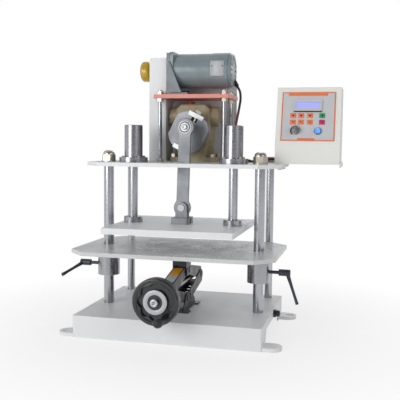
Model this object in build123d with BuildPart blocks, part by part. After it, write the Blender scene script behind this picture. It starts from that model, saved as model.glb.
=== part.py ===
"""Foam compression fatigue tester: crank press over a jack-raised perforated table."""
from build123d import *
from math import asin, atan2, cos, degrees, pi, radians, sin, sqrt
import os

# Driving dimensions in millimetres. X runs to the right, Y away from the front, Z up.
# The floor is z 0, and x 0, y 0 is the middle of the base box.
base_width = 440.0
base_depth = 343.0
base_height = 51.0
base_wall = 4.0
base_top_thickness = 6.0
side_cutout_length = 236.0
side_cutout_top_length = 200.0
side_cutout_height = 33.0
side_cutout_round = 7.0

ear_reach = 41.5
ear_width = 46.0
ear_thickness = 8.0
ear_offset_y = 145.5
ear_slot_length = 22.0
ear_slot_width = 12.0
ear_slot_from_side = 24.0

gland_y = 14.0
gland_height = 42.0
gland_flat_size = 17.0
gland_nut_thickness = 6.0
gland_dome_length = 9.0
gland_dome_radius = 7.5
gland_bore_radius = 4.0

press_line_y = -22.7
rear_column_y = 144.0
column_x = 187.5
front_column_radius = 12.5
rear_column_radius = 10.0
frame_clear_height = 341.3

top_plate_width = 467.0
top_plate_front_y = -90.0
top_plate_rear_y = 171.5
top_plate_thickness = 9.0
top_plate_chamfer = 41.75
rod_window_width = 64.0
rod_window_depth = 44.0

cap_nut_across = 30.0
cap_nut_height = 28.0
cap_nut_hex_height = 15.0
rear_nut_across = 24.0
rear_nut_height = 12.0
nut_washer_thickness = 2.0
nut_washer_overhang = 3.0

table_width = 481.0
table_depth = 296.0
table_thickness = 9.0
table_chamfer = 42.6
table_bore_clearance = 1.0
table_hole_radius = 3.0
table_hole_pitch_x = 45.0
table_hole_pitch_y = 50.0
table_hole_columns = 7
table_hole_rows = 5
working_gap = 42.9

collar_radius = 27.0
collar_length = 66.0
collar_clearance = 0.35
clamp_drop = 40.5
clamp_stud_radius = 4.0
clamp_stud_clearance = 0.1
clamp_stud_visible = 21.0
clamp_hub_length = 27.0
clamp_hub_radius = 7.8
clamp_arm_length = 72.0
clamp_arm_rise = 26.0
clamp_arm_width = 11.0
clamp_arm_tip_width = 6.0
clamp_arm_thickness = 7.0
clamp_tip_flare = 1.5
left_clamp_angle = 197.0
right_clamp_angle = 262.0

platen_width = 305.0
platen_depth = 289.0
platen_thickness = 14.0
guide_x = 124.0
guide_rod_radius = 11.0
rod_flange_radius = 23.0
rod_flange_height = 14.0
rod_top_below_bearing = 5.0
guide_bearing_radius = 22.0
guide_bearing_height = 89.6
guide_bearing_chamfer = 1.5
guide_flange_radius = 34.5
guide_flange_thickness = 12.0
guide_clearance = 0.08
plate_bore_clearance = 1.5
flange_screw_circle = 28.3
flange_screw_radius = 3.4
flange_screw_head = 3.5
flange_screws_per_flange = 4

crank_height = 74.1
crank_throw = 12.6
crank_angle = 26.5
rod_length = 192.8
clevis_pin_height = 38.6
clevis_width = 28.0
clevis_cheek = 8.0
clevis_foot_width = 42.0
clevis_foot_depth = 52.0
clevis_foot_height = 15.5
clevis_pin_radius = 7.0
clevis_pin_head_radius = 10.0
clevis_pin_head = 4.0
fit_clearance = 0.06
running_gap = 0.3

rod_width = 29.0
rod_thickness = 9.0
rod_big_end_radius = 21.5
rod_small_end_radius = 20.5
rod_neck_round = 12.0
big_bearing_radius = 15.6
crank_pin_radius = 8.0
crank_pin_boss_radius = 12.0
crank_pin_washer_radius = 10.5
crank_pin_washer = 2.5
crank_pin_head_across = 13.0
crank_pin_head = 6.0

disc_face_y = 25.0
disc_radius = 51.0
disc_thickness = 22.0
disc_flat_half = 44.0
slot_half_length = 46.0
slot_mouth_width = 16.0
slot_mouth_depth = 5.0
slot_wide_width = 26.0
slot_wide_depth = 10.0
slot_plate_length = 38.0
slot_plate_thickness = 4.0
throw_block_length = 30.0
adjust_screw_radius = 4.0
adjust_head_across = 14.0
adjust_head = 8.0
output_shaft_radius = 12.5
output_shaft_in_housing = 30.0

gearbox_front_y = 68.0
gearbox_depth = 64.0
gearbox_width = 86.0
gearbox_height = 144.0
gearbox_foot_width = 118.0
gearbox_foot_thickness = 12.0
gearbox_waist_width = 70.0
gearbox_shoulder = 12.0
gearbox_rib_thickness = 7.0
worm_above_crank = 40.0
worm_barrel_radius = 25.0
worm_barrel_reach = 57.0
worm_cover_thickness = 5.0
output_boss_radius = 36.0
output_boss_length = 6.0
output_cover_radius = 31.0
output_cover_thickness = 5.0
cover_bolt_across = 7.0
cover_bolt_head = 3.5
cover_bolts_per_cover = 4
cover_bolt_inset = 6.0
foot_bolt_across = 13.0
foot_bolt_head = 8.0
foot_bolt_inset = 8.5
breather_x = -12.0
breather_radius = 9.0
breather_height = 8.0

platform_center_x = 4.0
platform_width = 191.0
platform_front_y = 32.0
platform_depth = 118.0
platform_above_plate = 157.2
platform_thickness = 9.5
platform_notch_gap = 2.0
post_radius = 5.0
post_spacing_x = 163.0
post_front_y = 44.0
post_rear_y = 138.0
post_above_platform = 11.0
post_nut_across = 16.0
post_nut_height = 8.0

motor_axis_above_platform = 62.0
motor_radius = 43.0
motor_tail_radius = 44.0
motor_tail_length = 43.0
motor_left_x = -57.0
motor_length = 145.0
motor_flange_size = 90.0
motor_flange_thickness = 8.0
motor_cap_length = 9.0
motor_cap_radius = 42.0
motor_cap_rounding = 4.0
motor_vent_count = 10
motor_vent_width = 3.0
bracket_thickness = 8.0
bracket_width = 92.0
bracket_foot_length = 54.0
bracket_foot_thickness = 6.0
bracket_height = 104.0
gusset_height = 68.0
gusset_length = 32.0
gusset_thickness = 5.0

cover_left_x = -113.0
cover_width = 44.0
cover_front_y = 66.0
cover_depth = 64.0
cover_height = 260.0
cover_wall = 1.5
cover_rounding = 9.0
cover_flange = 9.0
cover_flange_thickness = 1.5
cover_shaft_gap = 1.0

pulley_radius = 22.0
pulley_width = 20.0
pulley_rim = 3.0
pulley_rim_width = 2.0
belt_thickness = 2.5
belt_width = 15.0
worm_shaft_radius = 8.0
motor_shaft_radius = 7.0
motor_shaft_in_body = 10.0
hand_rim_radius = 26.0
hand_rim_width = 24.0
hand_hub_radius = 11.0
hand_hub_length = 5.5
hand_rounding = 8.0

back_panel_left_x = -60.0
back_panel_width = 155.0
back_panel_front_y = 156.0
back_panel_height = 199.0
back_panel_thickness = 1.5
back_panel_foot = 11.0

box_left_x = 213.0
box_front_y = 30.0
box_width = 152.0
box_depth = 130.0
box_height = 180.5
box_front_height = 42.5
box_lean = 37.0
box_wall = 1.5
box_rounding = 3.0
box_gland_y = 99.0
box_gland_above_plate = 9.5
bracket_plate_thickness = 3.0
bracket_plate_margin = 3.0
bracket_lip = 7.0
bracket_bolt_across = 10.0
bracket_bolt_head = 6.0
bracket_bolt_spacing = 60.0

panel_width = 127.0
panel_height = 121.0
panel_from_bend = 9.5
panel_thickness = 1.5
panel_corner = 2.0
panel_screw_radius = 2.2
panel_screw_head = 1.2
panel_screw_inset = 4.5
bezel_width = 66.5
bezel_height = 28.5
bezel_thickness = 3.0
bezel_center_from_bend = 97.2
bezel_shift_x = -1.3
window_width = 57.0
window_height = 13.2
window_rise = 1.0
key_size = 13.8
key_thickness = 0.8
key_rounding = 1.5
key_columns_x = (-35.3, -16.4, 4.6, 33.0)
key_rows_from_bend = (71.8, 55.6)
knob_x = -28.6
knob_from_bend = 34.6
knob_radius = 8.5
knob_height = 12.0
knob_collar_radius = 10.0
knob_collar_height = 2.0
knob_stem_radius = 3.0
button_x = 24.2
button_from_bend = 33.7
button_radius = 7.0
button_height = 5.0
button_stem_radius = 5.0
button_rest = 2.3

lead_radius = 3.0
lead_exit_y = 20.0
lead_exit_drop = 27.0
lead_boot_radius = 5.0
lead_boot_length = 12.0
lead_boot_slant = 30.0
lead_first_run = 15.0
lead_gland_radius = 5.8
lead_gland_length = 9.0
lead_clip_run = 9
lead_clip_wall = 1.5
lead_clip_width = 8.0
lead_clip_foot = 20.0

jack_pivot_spread = 12.0
jack_base_pivot_height = 26.6
jack_saddle_drop = 47.1
jack_arm_length = 125.0
jack_arm_end_radius = 11.6
jack_arm_trunnion_radius = 12.0
jack_arm_web_rise = 20.0
jack_arm_web_round = 8.0
jack_sheet = 2.5
jack_lower_inner_half = 14.5
jack_side_gap = 0.3
jack_pin_radius = 5.0
jack_pin_head_radius = 8.0
jack_pin_head = 1.5
jack_pin_clearance = 0.08
jack_open_pin_clearance = 0.5
jack_block_radius = 9.0
jack_web_start = 14.0
jack_window_width = 14.0
jack_window_length = 9.0
jack_window_pitch = 18.0
jack_foot_half_width = 33.0
jack_foot_length = 122.0
jack_base_sheet = 3.0
jack_foot_end = 26.0
jack_waist_half_width = 24.0
jack_saddle_length = 44.0
jack_screw_radius = 6.0
jack_screw_clearance = 0.3
jack_screw_tail = 24.0
thrust_collar_radius = 9.0
thrust_collar_length = 8.0

jack_wheel_front_y = -240.0
jack_wheel_radius = 52.0
jack_wheel_rim_depth = 22.0
jack_wheel_rim_width = 11.0
jack_wheel_web = 6.0
jack_wheel_hub_radius = 18.0
jack_wheel_hub_length = 20.0
wheel_nut_across = 16.0
wheel_nut_height = 6.0
handle_circle = 38.0
handle_angle = -58.0
handle_stem_radius = 4.0
handle_boss_radius = 8.0
handle_length = 54.0
handle_neck_radius = 6.5
handle_end_radius = 10.5

# Heights and places worked out from the driving dimensions
side_x = base_width / 2
base_top_z = base_height
top_plate_under_z = base_top_z + frame_clear_height
top_plate_z = top_plate_under_z + top_plate_thickness
top_plate_depth = top_plate_rear_y - top_plate_front_y
top_plate_center_y = (top_plate_rear_y + top_plate_front_y) / 2
crank_z = top_plate_z + crank_height
lean = radians(crank_angle)
crank_pin_x = crank_throw * sin(lean)
crank_pin_z = crank_z + crank_throw * cos(lean)
clevis_pin_z = crank_pin_z - sqrt(rod_length**2 - crank_pin_x**2)
platen_top_z = clevis_pin_z - clevis_pin_height
platen_z = platen_top_z - platen_thickness
table_top_z = platen_z - working_gap
table_z = table_top_z - table_thickness
collar_z = table_z - collar_length
clamp_z = table_z - clamp_drop
gearbox_mid_y = gearbox_front_y + gearbox_depth / 2
worm_z = crank_z + worm_above_crank
platform_z = top_plate_z + platform_above_plate
platform_top_z = platform_z + platform_thickness
motor_z = platform_top_z + motor_axis_above_platform
cover_mid_x = cover_left_x + cover_width / 2
box_z = top_plate_z + bracket_plate_thickness
jack_base_pivot_z = base_top_z + jack_base_pivot_height
jack_saddle_pivot_z = table_z - jack_saddle_drop
jack_angle = asin((jack_saddle_pivot_z - jack_base_pivot_z) / 2 / jack_arm_length)
trunnion_z = jack_base_pivot_z + jack_arm_length * sin(jack_angle)
trunnion_reach = jack_pivot_spread + jack_arm_length * cos(jack_angle)
lower_outer_half = jack_lower_inner_half + jack_sheet
upper_outer_half = jack_lower_inner_half - jack_side_gap
upper_inner_half = upper_outer_half - jack_sheet
saddle_outer_half = upper_outer_half + jack_side_gap + jack_sheet
base_cheek_inner = lower_outer_half + jack_side_gap
base_cheek_outer = base_cheek_inner + jack_sheet
corner_signs = ((-1, -1), (1, -1), (-1, 1), (1, 1))


def at_x(x):
    """Plane across the machine: its axes are Y and Z, and it faces right."""
    return Plane.YZ.offset(x)


def at_y(y):
    """Plane facing the front at this depth: its axes are X and Z, and it faces forward."""
    return Plane.XZ.offset(-y)


def at_z(z):
    """Level plane at this height."""
    return Plane.XY.offset(z)


def keep(builder, label):
    """Name a finished piece and write it."""
    builder.part.label = label
    export_step(builder.part, f"parts/{label}.step")


def disc_on(plane, points, radius, length, mode=Mode.ADD):
    """Round bars of one radius that start on a plane."""
    with BuildSketch(plane) as profile:
        with Locations(*points):
            Circle(radius)
    extrude(profile.sketch, amount=length, mode=mode)


def hex_on(plane, points, across, length, mode=Mode.ADD):
    """Hexagon prisms of one size that start on a plane."""
    with BuildSketch(plane) as profile:
        with Locations(*points):
            RegularPolygon(across / 2, 6, major_radius=False)
    extrude(profile.sketch, amount=length, mode=mode)


def make_base():
    with BuildPart() as base_box:
        with BuildSketch(at_z(0)):
            Rectangle(base_width, base_depth)
        extrude(amount=base_height)
        fillet(base_box.edges().filter_by(Axis.Z), base_wall)
        with BuildSketch(at_z(0)):
            Rectangle(base_width - 2 * base_wall, base_depth - 2 * base_wall)
        extrude(amount=base_height - base_top_thickness, mode=Mode.SUBTRACT)
        half_low = side_cutout_length / 2
        half_high = side_cutout_top_length / 2
        with BuildSketch(at_x(-side_x - 1)) as arch:
            with BuildLine():
                Polyline((-half_low, -1), (-half_high, side_cutout_height),
                         (half_high, side_cutout_height), (half_low, -1), close=True)
            make_face()
            fillet(arch.vertices().group_by(Axis.Z)[-1], side_cutout_round)
        extrude(amount=base_width + 2, mode=Mode.SUBTRACT)
        with BuildSketch(at_x(side_x + 1)):
            with Locations((gland_y, gland_height)):
                Circle(gland_dome_radius - 1)
        extrude(amount=-base_wall - 2, mode=Mode.SUBTRACT)
    keep(base_box, "base_box")

    with BuildPart() as mounting_ears:
        for side, depth_sign in corner_signs:
            y = depth_sign * ear_offset_y
            with BuildSketch(at_z(0)):
                with Locations((side * (side_x + (ear_reach - ear_width / 2) / 2), y)):
                    Rectangle(ear_reach - ear_width / 2, ear_width)
                with Locations((side * (side_x + ear_reach - ear_width / 2), y)):
                    Circle(ear_width / 2)
                with Locations((side * (side_x - ear_width / 2), y)):
                    Rectangle(ear_width, ear_width, mode=Mode.SUBTRACT)
                with Locations((side * (side_x + ear_slot_from_side), y)):
                    SlotOverall(ear_slot_length, ear_slot_width, mode=Mode.SUBTRACT)
            extrude(amount=ear_thickness)
    keep(mounting_ears, "mounting_ears")

    with BuildPart() as power_gland:
        with BuildSketch(at_x(side_x)):
            with Locations((gland_y, gland_height)):
                RegularPolygon(gland_flat_size / 2, 6, major_radius=False)
        extrude(amount=gland_nut_thickness)
        disc_on(at_x(side_x + gland_nut_thickness), [(gland_y, gland_height)],
                gland_dome_radius, gland_dome_length)
        fillet(power_gland.faces().sort_by(Axis.X)[-1].edges(), 2.5)
        disc_on(at_x(side_x), [(gland_y, gland_height)], gland_bore_radius,
                gland_nut_thickness + gland_dome_length, Mode.SUBTRACT)
    keep(power_gland, "power_gland")


def make_frame():
    front = [(-column_x, press_line_y), (column_x, press_line_y)]
    rear = [(-column_x, rear_column_y), (column_x, rear_column_y)]
    stub = nut_washer_thickness + cap_nut_hex_height
    with BuildPart() as front_columns:
        disc_on(at_z(base_top_z), front, front_column_radius, frame_clear_height)
    keep(front_columns, "front_columns")
    with BuildPart() as rear_columns:
        disc_on(at_z(base_top_z), rear, rear_column_radius, frame_clear_height)
    keep(rear_columns, "rear_columns")

    with BuildPart() as top_plate:
        with BuildSketch(at_z(top_plate_under_z)) as outline:
            with Locations((0, top_plate_center_y)):
                Rectangle(top_plate_width, top_plate_depth)
            chamfer(outline.vertices(), top_plate_chamfer)
            with Locations((0, press_line_y)):
                RectangleRounded(rod_window_width, rod_window_depth, 6, mode=Mode.SUBTRACT)
            with Locations((-guide_x, press_line_y), (guide_x, press_line_y)):
                Circle(guide_rod_radius + plate_bore_clearance, mode=Mode.SUBTRACT)
        extrude(amount=top_plate_thickness)
    keep(top_plate, "top_plate")

    with BuildPart() as column_nuts:
        disc_on(at_z(top_plate_z), front, cap_nut_across / 2 + nut_washer_overhang,
                nut_washer_thickness)
        hex_on(at_z(top_plate_z + nut_washer_thickness), front, cap_nut_across,
               cap_nut_hex_height)
        dome = cap_nut_height - stub
        disc_on(at_z(top_plate_z + stub), front, cap_nut_across / 2 - 0.5, dome)
        fillet(column_nuts.faces().group_by(Axis.Z)[-1].edges(), 0.9 * dome)
        disc_on(at_z(top_plate_z), rear, rear_nut_across / 2 + nut_washer_overhang,
                nut_washer_thickness)
        hex_on(at_z(top_plate_z + nut_washer_thickness), rear, rear_nut_across, rear_nut_height)
    keep(column_nuts, "column_nuts")

    guides = [(-guide_x, press_line_y), (guide_x, press_line_y)]
    with BuildPart() as guide_bearings:
        disc_on(at_z(top_plate_z), guides, guide_flange_radius, guide_flange_thickness)
        disc_on(at_z(top_plate_z), guides, guide_bearing_radius, guide_bearing_height)
        chamfer(guide_bearings.faces().group_by(Axis.Z)[-1].edges(), guide_bearing_chamfer)
        disc_on(at_z(top_plate_z), guides, guide_rod_radius + guide_clearance,
                guide_bearing_height, Mode.SUBTRACT)
    keep(guide_bearings, "guide_bearings")


def make_table():
    fronts = [(-column_x, press_line_y), (column_x, press_line_y)]
    with BuildPart() as perforated_table:
        with BuildSketch(at_z(table_z)) as outline:
            with Locations((0, press_line_y)):
                Rectangle(table_width, table_depth)
            chamfer(outline.vertices(), table_chamfer)
            with Locations(*fronts):
                Circle(front_column_radius + table_bore_clearance, mode=Mode.SUBTRACT)
            with Locations((0, press_line_y)):
                with GridLocations(table_hole_pitch_x, table_hole_pitch_y,
                                   table_hole_columns, table_hole_rows):
                    Circle(table_hole_radius, mode=Mode.SUBTRACT)
        extrude(amount=table_thickness)
    keep(perforated_table, "perforated_table")

    with BuildPart() as table_collars:
        disc_on(at_z(collar_z), fronts, collar_radius, collar_length)
        disc_on(at_z(collar_z), fronts, front_column_radius + collar_clearance,
                collar_length, Mode.SUBTRACT)
        stud_bore = clamp_stud_radius + clamp_stud_clearance
        for side in (-1, 1):
            disc_on(at_x(side * column_x), [(press_line_y, clamp_z)], stud_bore,
                    side * (collar_radius + 1), Mode.SUBTRACT)
    keep(table_collars, "table_collars")

    with BuildPart() as jack_saddle:
        saddle_low = jack_saddle_pivot_z - jack_arm_end_radius
        height = table_z - saddle_low
        half = jack_saddle_length / 2
        shoulder = jack_saddle_pivot_z + 7
        with BuildSketch(at_x(-saddle_outer_half)):
            with BuildLine():
                Polyline((press_line_y - half, table_z), (press_line_y - half, shoulder),
                         (press_line_y - half + 6, saddle_low), (press_line_y + half - 6, saddle_low),
                         (press_line_y + half, shoulder), (press_line_y + half, table_z), close=True)
            make_face()
        extrude(amount=2 * saddle_outer_half)
        inner = upper_outer_half + jack_side_gap
        with BuildSketch(at_z(saddle_low - 1)):
            with Locations((0, press_line_y)):
                Rectangle(2 * inner, jack_saddle_length + 2)
        extrude(amount=height + 1 - jack_sheet, mode=Mode.SUBTRACT)
        pins = [(press_line_y - jack_pivot_spread, jack_saddle_pivot_z),
                (press_line_y + jack_pivot_spread, jack_saddle_pivot_z)]
        disc_on(at_x(-saddle_outer_half), pins, jack_pin_radius, 2 * saddle_outer_half)
        disc_on(at_x(saddle_outer_half), pins, jack_pin_head_radius, jack_pin_head)
        disc_on(at_x(-saddle_outer_half), pins, jack_pin_head_radius, -jack_pin_head)
    keep(jack_saddle, "jack_saddle")


def make_clamp_lever(label, side, angle):
    """Lever on a threaded stud: hub along X, arm turned about it and leaning outward."""
    stud_start = column_x + front_column_radius + 2 * running_gap
    hub_start = column_x + collar_radius + clamp_stud_visible
    with BuildPart() as lever:
        disc_on(at_x(side * stud_start), [(press_line_y, clamp_z)], clamp_stud_radius,
                side * (hub_start - stud_start + 1))
        disc_on(at_x(side * hub_start), [(press_line_y, clamp_z)], clamp_hub_radius,
                side * clamp_hub_length)
        fillet(lever.edges().group_by(Axis.X)[-1 if side > 0 else 0], 2)
        turn = radians(angle)
        reach = Vector(side * clamp_arm_rise, clamp_arm_length * cos(turn),
                       clamp_arm_length * sin(turn))
        hub_mid = side * (hub_start + clamp_hub_length * 0.72)
        root_plane = Plane(origin=(hub_mid, press_line_y, clamp_z),
                           x_dir=(side, 0, 0), z_dir=reach.normalized())
        span = reach.length
        with BuildSketch(root_plane):
            Ellipse(clamp_arm_thickness * 0.75, clamp_arm_width / 2)
        with BuildSketch(root_plane.offset(span * 0.45)):
            Ellipse(clamp_arm_thickness * 0.5, clamp_arm_tip_width / 2 + 0.6)
        with BuildSketch(root_plane.offset(span)):
            Ellipse(clamp_arm_thickness * 0.55, clamp_arm_tip_width / 2 + clamp_tip_flare)
        loft()
    keep(lever, label)


def make_platen():
    guides = [(-guide_x, press_line_y), (guide_x, press_line_y)]
    rod_top = top_plate_z + guide_bearing_height - rod_top_below_bearing
    with BuildPart() as compression_plate:
        with BuildSketch(at_z(platen_z)):
            with Locations((0, press_line_y)):
                Rectangle(platen_width, platen_depth)
        extrude(amount=platen_thickness)
        chamfer(compression_plate.edges().filter_by(Axis.Z), 2)
    keep(compression_plate, "compression_plate")

    with BuildPart() as guide_rods:
        disc_on(at_z(platen_top_z), guides, guide_rod_radius, rod_top - platen_top_z)
    keep(guide_rods, "guide_rods")

    with BuildPart() as rod_flanges:
        disc_on(at_z(platen_top_z), guides, rod_flange_radius, rod_flange_height)
        chamfer(rod_flanges.faces().group_by(Axis.Z)[-1].edges(), 1)
        disc_on(at_z(platen_top_z), guides, guide_rod_radius, rod_flange_height, Mode.SUBTRACT)
    keep(rod_flanges, "rod_flanges")

    gap = rod_thickness + 2 * running_gap
    depth = gap + 2 * clevis_cheek
    with BuildPart() as clevis:
        with BuildSketch(at_z(platen_top_z)):
            with Locations((0, press_line_y)):
                RectangleRounded(clevis_foot_width, clevis_foot_depth, 4)
        extrude(amount=clevis_foot_height)
        rise = clevis_pin_height - clevis_foot_height
        with BuildSketch(at_y(press_line_y + depth / 2)):
            with Locations((0, platen_top_z + clevis_foot_height + rise / 2)):
                Rectangle(clevis_width, rise)
            with Locations((0, clevis_pin_z)):
                Circle(clevis_width / 2)
        extrude(amount=depth)
        with BuildSketch(at_y(press_line_y + gap / 2)):
            low = platen_top_z + clevis_foot_height
            with Locations((0, low + rise)):
                Rectangle(clevis_foot_width + 10, 2 * rise + clevis_width)
        extrude(amount=gap, mode=Mode.SUBTRACT)
        disc_on(at_y(press_line_y + depth / 2), [(0, clevis_pin_z)], clevis_pin_radius, depth,
                Mode.SUBTRACT)
        eye_room = rod_small_end_radius + 2 * running_gap
        disc_on(at_y(press_line_y + gap / 2), [(0, clevis_pin_z)], eye_room, gap, Mode.SUBTRACT)
    keep(clevis, "clevis")

    with BuildPart() as clevis_pin:
        disc_on(at_y(press_line_y + depth / 2), [(0, clevis_pin_z)], clevis_pin_radius, depth)
        disc_on(at_y(press_line_y + depth / 2 + clevis_pin_head), [(0, clevis_pin_z)],
                clevis_pin_head_radius, clevis_pin_head)
        disc_on(at_y(press_line_y - depth / 2), [(0, clevis_pin_z)],
                clevis_pin_head_radius - 2, clevis_pin_head / 2)
    keep(clevis_pin, "clevis_pin")


def make_rod():
    rod_lean = atan2(crank_pin_x, crank_pin_z - clevis_pin_z)
    rear_y = press_line_y + rod_thickness / 2
    rod_plane = Plane(origin=(0, rear_y, clevis_pin_z), x_dir=(cos(rod_lean), 0, -sin(rod_lean)),
                      z_dir=(0, -1, 0))
    with BuildPart() as connecting_rod:
        with BuildSketch(rod_plane) as shape:
            Circle(rod_small_end_radius)
            with Locations((0, rod_length)):
                Circle(rod_big_end_radius)
            with Locations((0, rod_length / 2)):
                Rectangle(rod_width, rod_length)
            necks = shape.vertices().filter_by(
                lambda corner: rod_small_end_radius * 0.4 < corner.Y < rod_length * 0.95)
            fillet(necks, rod_neck_round)
            Circle(clevis_pin_radius + fit_clearance, mode=Mode.SUBTRACT)
            with Locations((0, rod_length)):
                Circle(big_bearing_radius, mode=Mode.SUBTRACT)
        extrude(amount=rod_thickness)
        chamfer(connecting_rod.faces().sort_by(Axis.Y)[0].outer_wire().edges(), 0.8)
    keep(connecting_rod, "connecting_rod")

    center = [(crank_pin_x, crank_pin_z)]
    front_y = press_line_y - rod_thickness / 2
    with BuildPart() as crank_pin:
        disc_on(at_y(disc_face_y - running_gap), center, crank_pin_boss_radius,
                disc_face_y - running_gap - rear_y)
        disc_on(at_y(rear_y), center, crank_pin_radius, rod_thickness)
        disc_on(at_y(rear_y), center, big_bearing_radius, rod_thickness)
        disc_on(at_y(front_y), center, crank_pin_washer_radius, crank_pin_washer)
        disc_on(at_y(front_y - crank_pin_washer), center, crank_pin_head_across / 2,
                crank_pin_head)
        chamfer(crank_pin.faces().sort_by(Axis.Y)[0].edges(), 1)
        disc_on(at_y(front_y - crank_pin_washer - crank_pin_head / 2), center,
                crank_pin_head_across / 4, crank_pin_head, Mode.SUBTRACT)
    keep(crank_pin, "crank_pin")


def make_crank():
    turn = -crank_angle
    rear_face_y = disc_face_y + disc_thickness
    shaft_length = gearbox_front_y + output_shaft_in_housing - rear_face_y
    with BuildPart() as crank_disc:
        with BuildSketch(at_y(rear_face_y)):
            with Locations((0, crank_z)):
                Circle(disc_radius)
                Rectangle(2 * disc_flat_half, 2 * slot_half_length, rotation=turn,
                          mode=Mode.INTERSECT)
        extrude(amount=disc_thickness)
        slot_floor_y = disc_face_y + slot_mouth_depth + slot_wide_depth
        with BuildSketch(at_y(slot_floor_y)):
            with Locations((0, crank_z)):
                Rectangle(slot_wide_width, 2 * disc_radius, rotation=turn)
        extrude(amount=slot_wide_depth, mode=Mode.SUBTRACT)
        with BuildSketch(at_y(disc_face_y + slot_mouth_depth)):
            with Locations((0, crank_z)):
                Rectangle(slot_mouth_width, 2 * disc_radius, rotation=turn)
        extrude(amount=slot_mouth_depth, mode=Mode.SUBTRACT)
        disc_on(at_y(rear_face_y + shaft_length), [(0, crank_z)], output_shaft_radius,
                shaft_length)
    keep(crank_disc, "crank_disc")

    along = Vector(sin(lean), 0, cos(lean))
    middle_y = disc_face_y + slot_mouth_depth + slot_wide_depth / 2
    center = Vector(0, middle_y, crank_z)
    plate_width = slot_mouth_depth + slot_wide_depth
    top = Plane(origin=center + along * slot_half_length, x_dir=(0, -1, 0), z_dir=along)
    bottom = Plane(origin=center - along * slot_half_length, x_dir=(0, -1, 0), z_dir=-along)
    shift = (slot_mouth_depth) / 2
    with BuildPart() as slot_end_plates:
        for end in (top, bottom):
            with BuildSketch(end):
                with Locations((shift, 0)):
                    Rectangle(plate_width, slot_plate_length)
                Circle(adjust_screw_radius + running_gap, mode=Mode.SUBTRACT)
            extrude(amount=slot_plate_thickness)
    keep(slot_end_plates, "slot_end_plates")

    reach = slot_half_length + slot_plate_thickness
    with BuildPart() as adjusting_screw:
        with BuildSketch(bottom.offset(slot_plate_thickness + running_gap)):
            Circle(adjust_screw_radius)
        extrude(amount=-(2 * reach + 2 * running_gap))
        with BuildSketch(top.offset(slot_plate_thickness + running_gap)):
            RegularPolygon(adjust_head_across / 2, 6, major_radius=False)
        extrude(amount=adjust_head)
        with BuildSketch(bottom.offset(slot_plate_thickness + running_gap)):
            Circle(adjust_screw_radius + 2)
        extrude(amount=3)
    keep(adjusting_screw, "adjusting_screw")

    with BuildPart() as throw_block:
        pin_center = center + along * crank_throw
        block_plane = Plane(origin=pin_center - along * throw_block_length / 2,
                            x_dir=(0, -1, 0), z_dir=along)
        with BuildSketch(block_plane):
            Rectangle(slot_wide_depth - 2 * running_gap, slot_wide_width - 2 * running_gap)
            neck = slot_mouth_depth + running_gap
            with Locations((slot_wide_depth / 2 + (slot_mouth_depth - neck) / 2, 0)):
                Rectangle(neck, slot_mouth_width - 2 * running_gap)
            Circle(adjust_screw_radius + running_gap, mode=Mode.SUBTRACT)
        extrude(amount=throw_block_length)
    keep(throw_block, "throw_block")


def bolt_circle(across, up, radius):
    """Four bolt centres on a circle, midway between the axes of their plane."""
    step = 360 / cover_bolts_per_cover
    return [(across + radius * cos(radians(step / 2 + step * n)),
             up + radius * sin(radians(step / 2 + step * n)))
            for n in range(cover_bolts_per_cover)]


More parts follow.
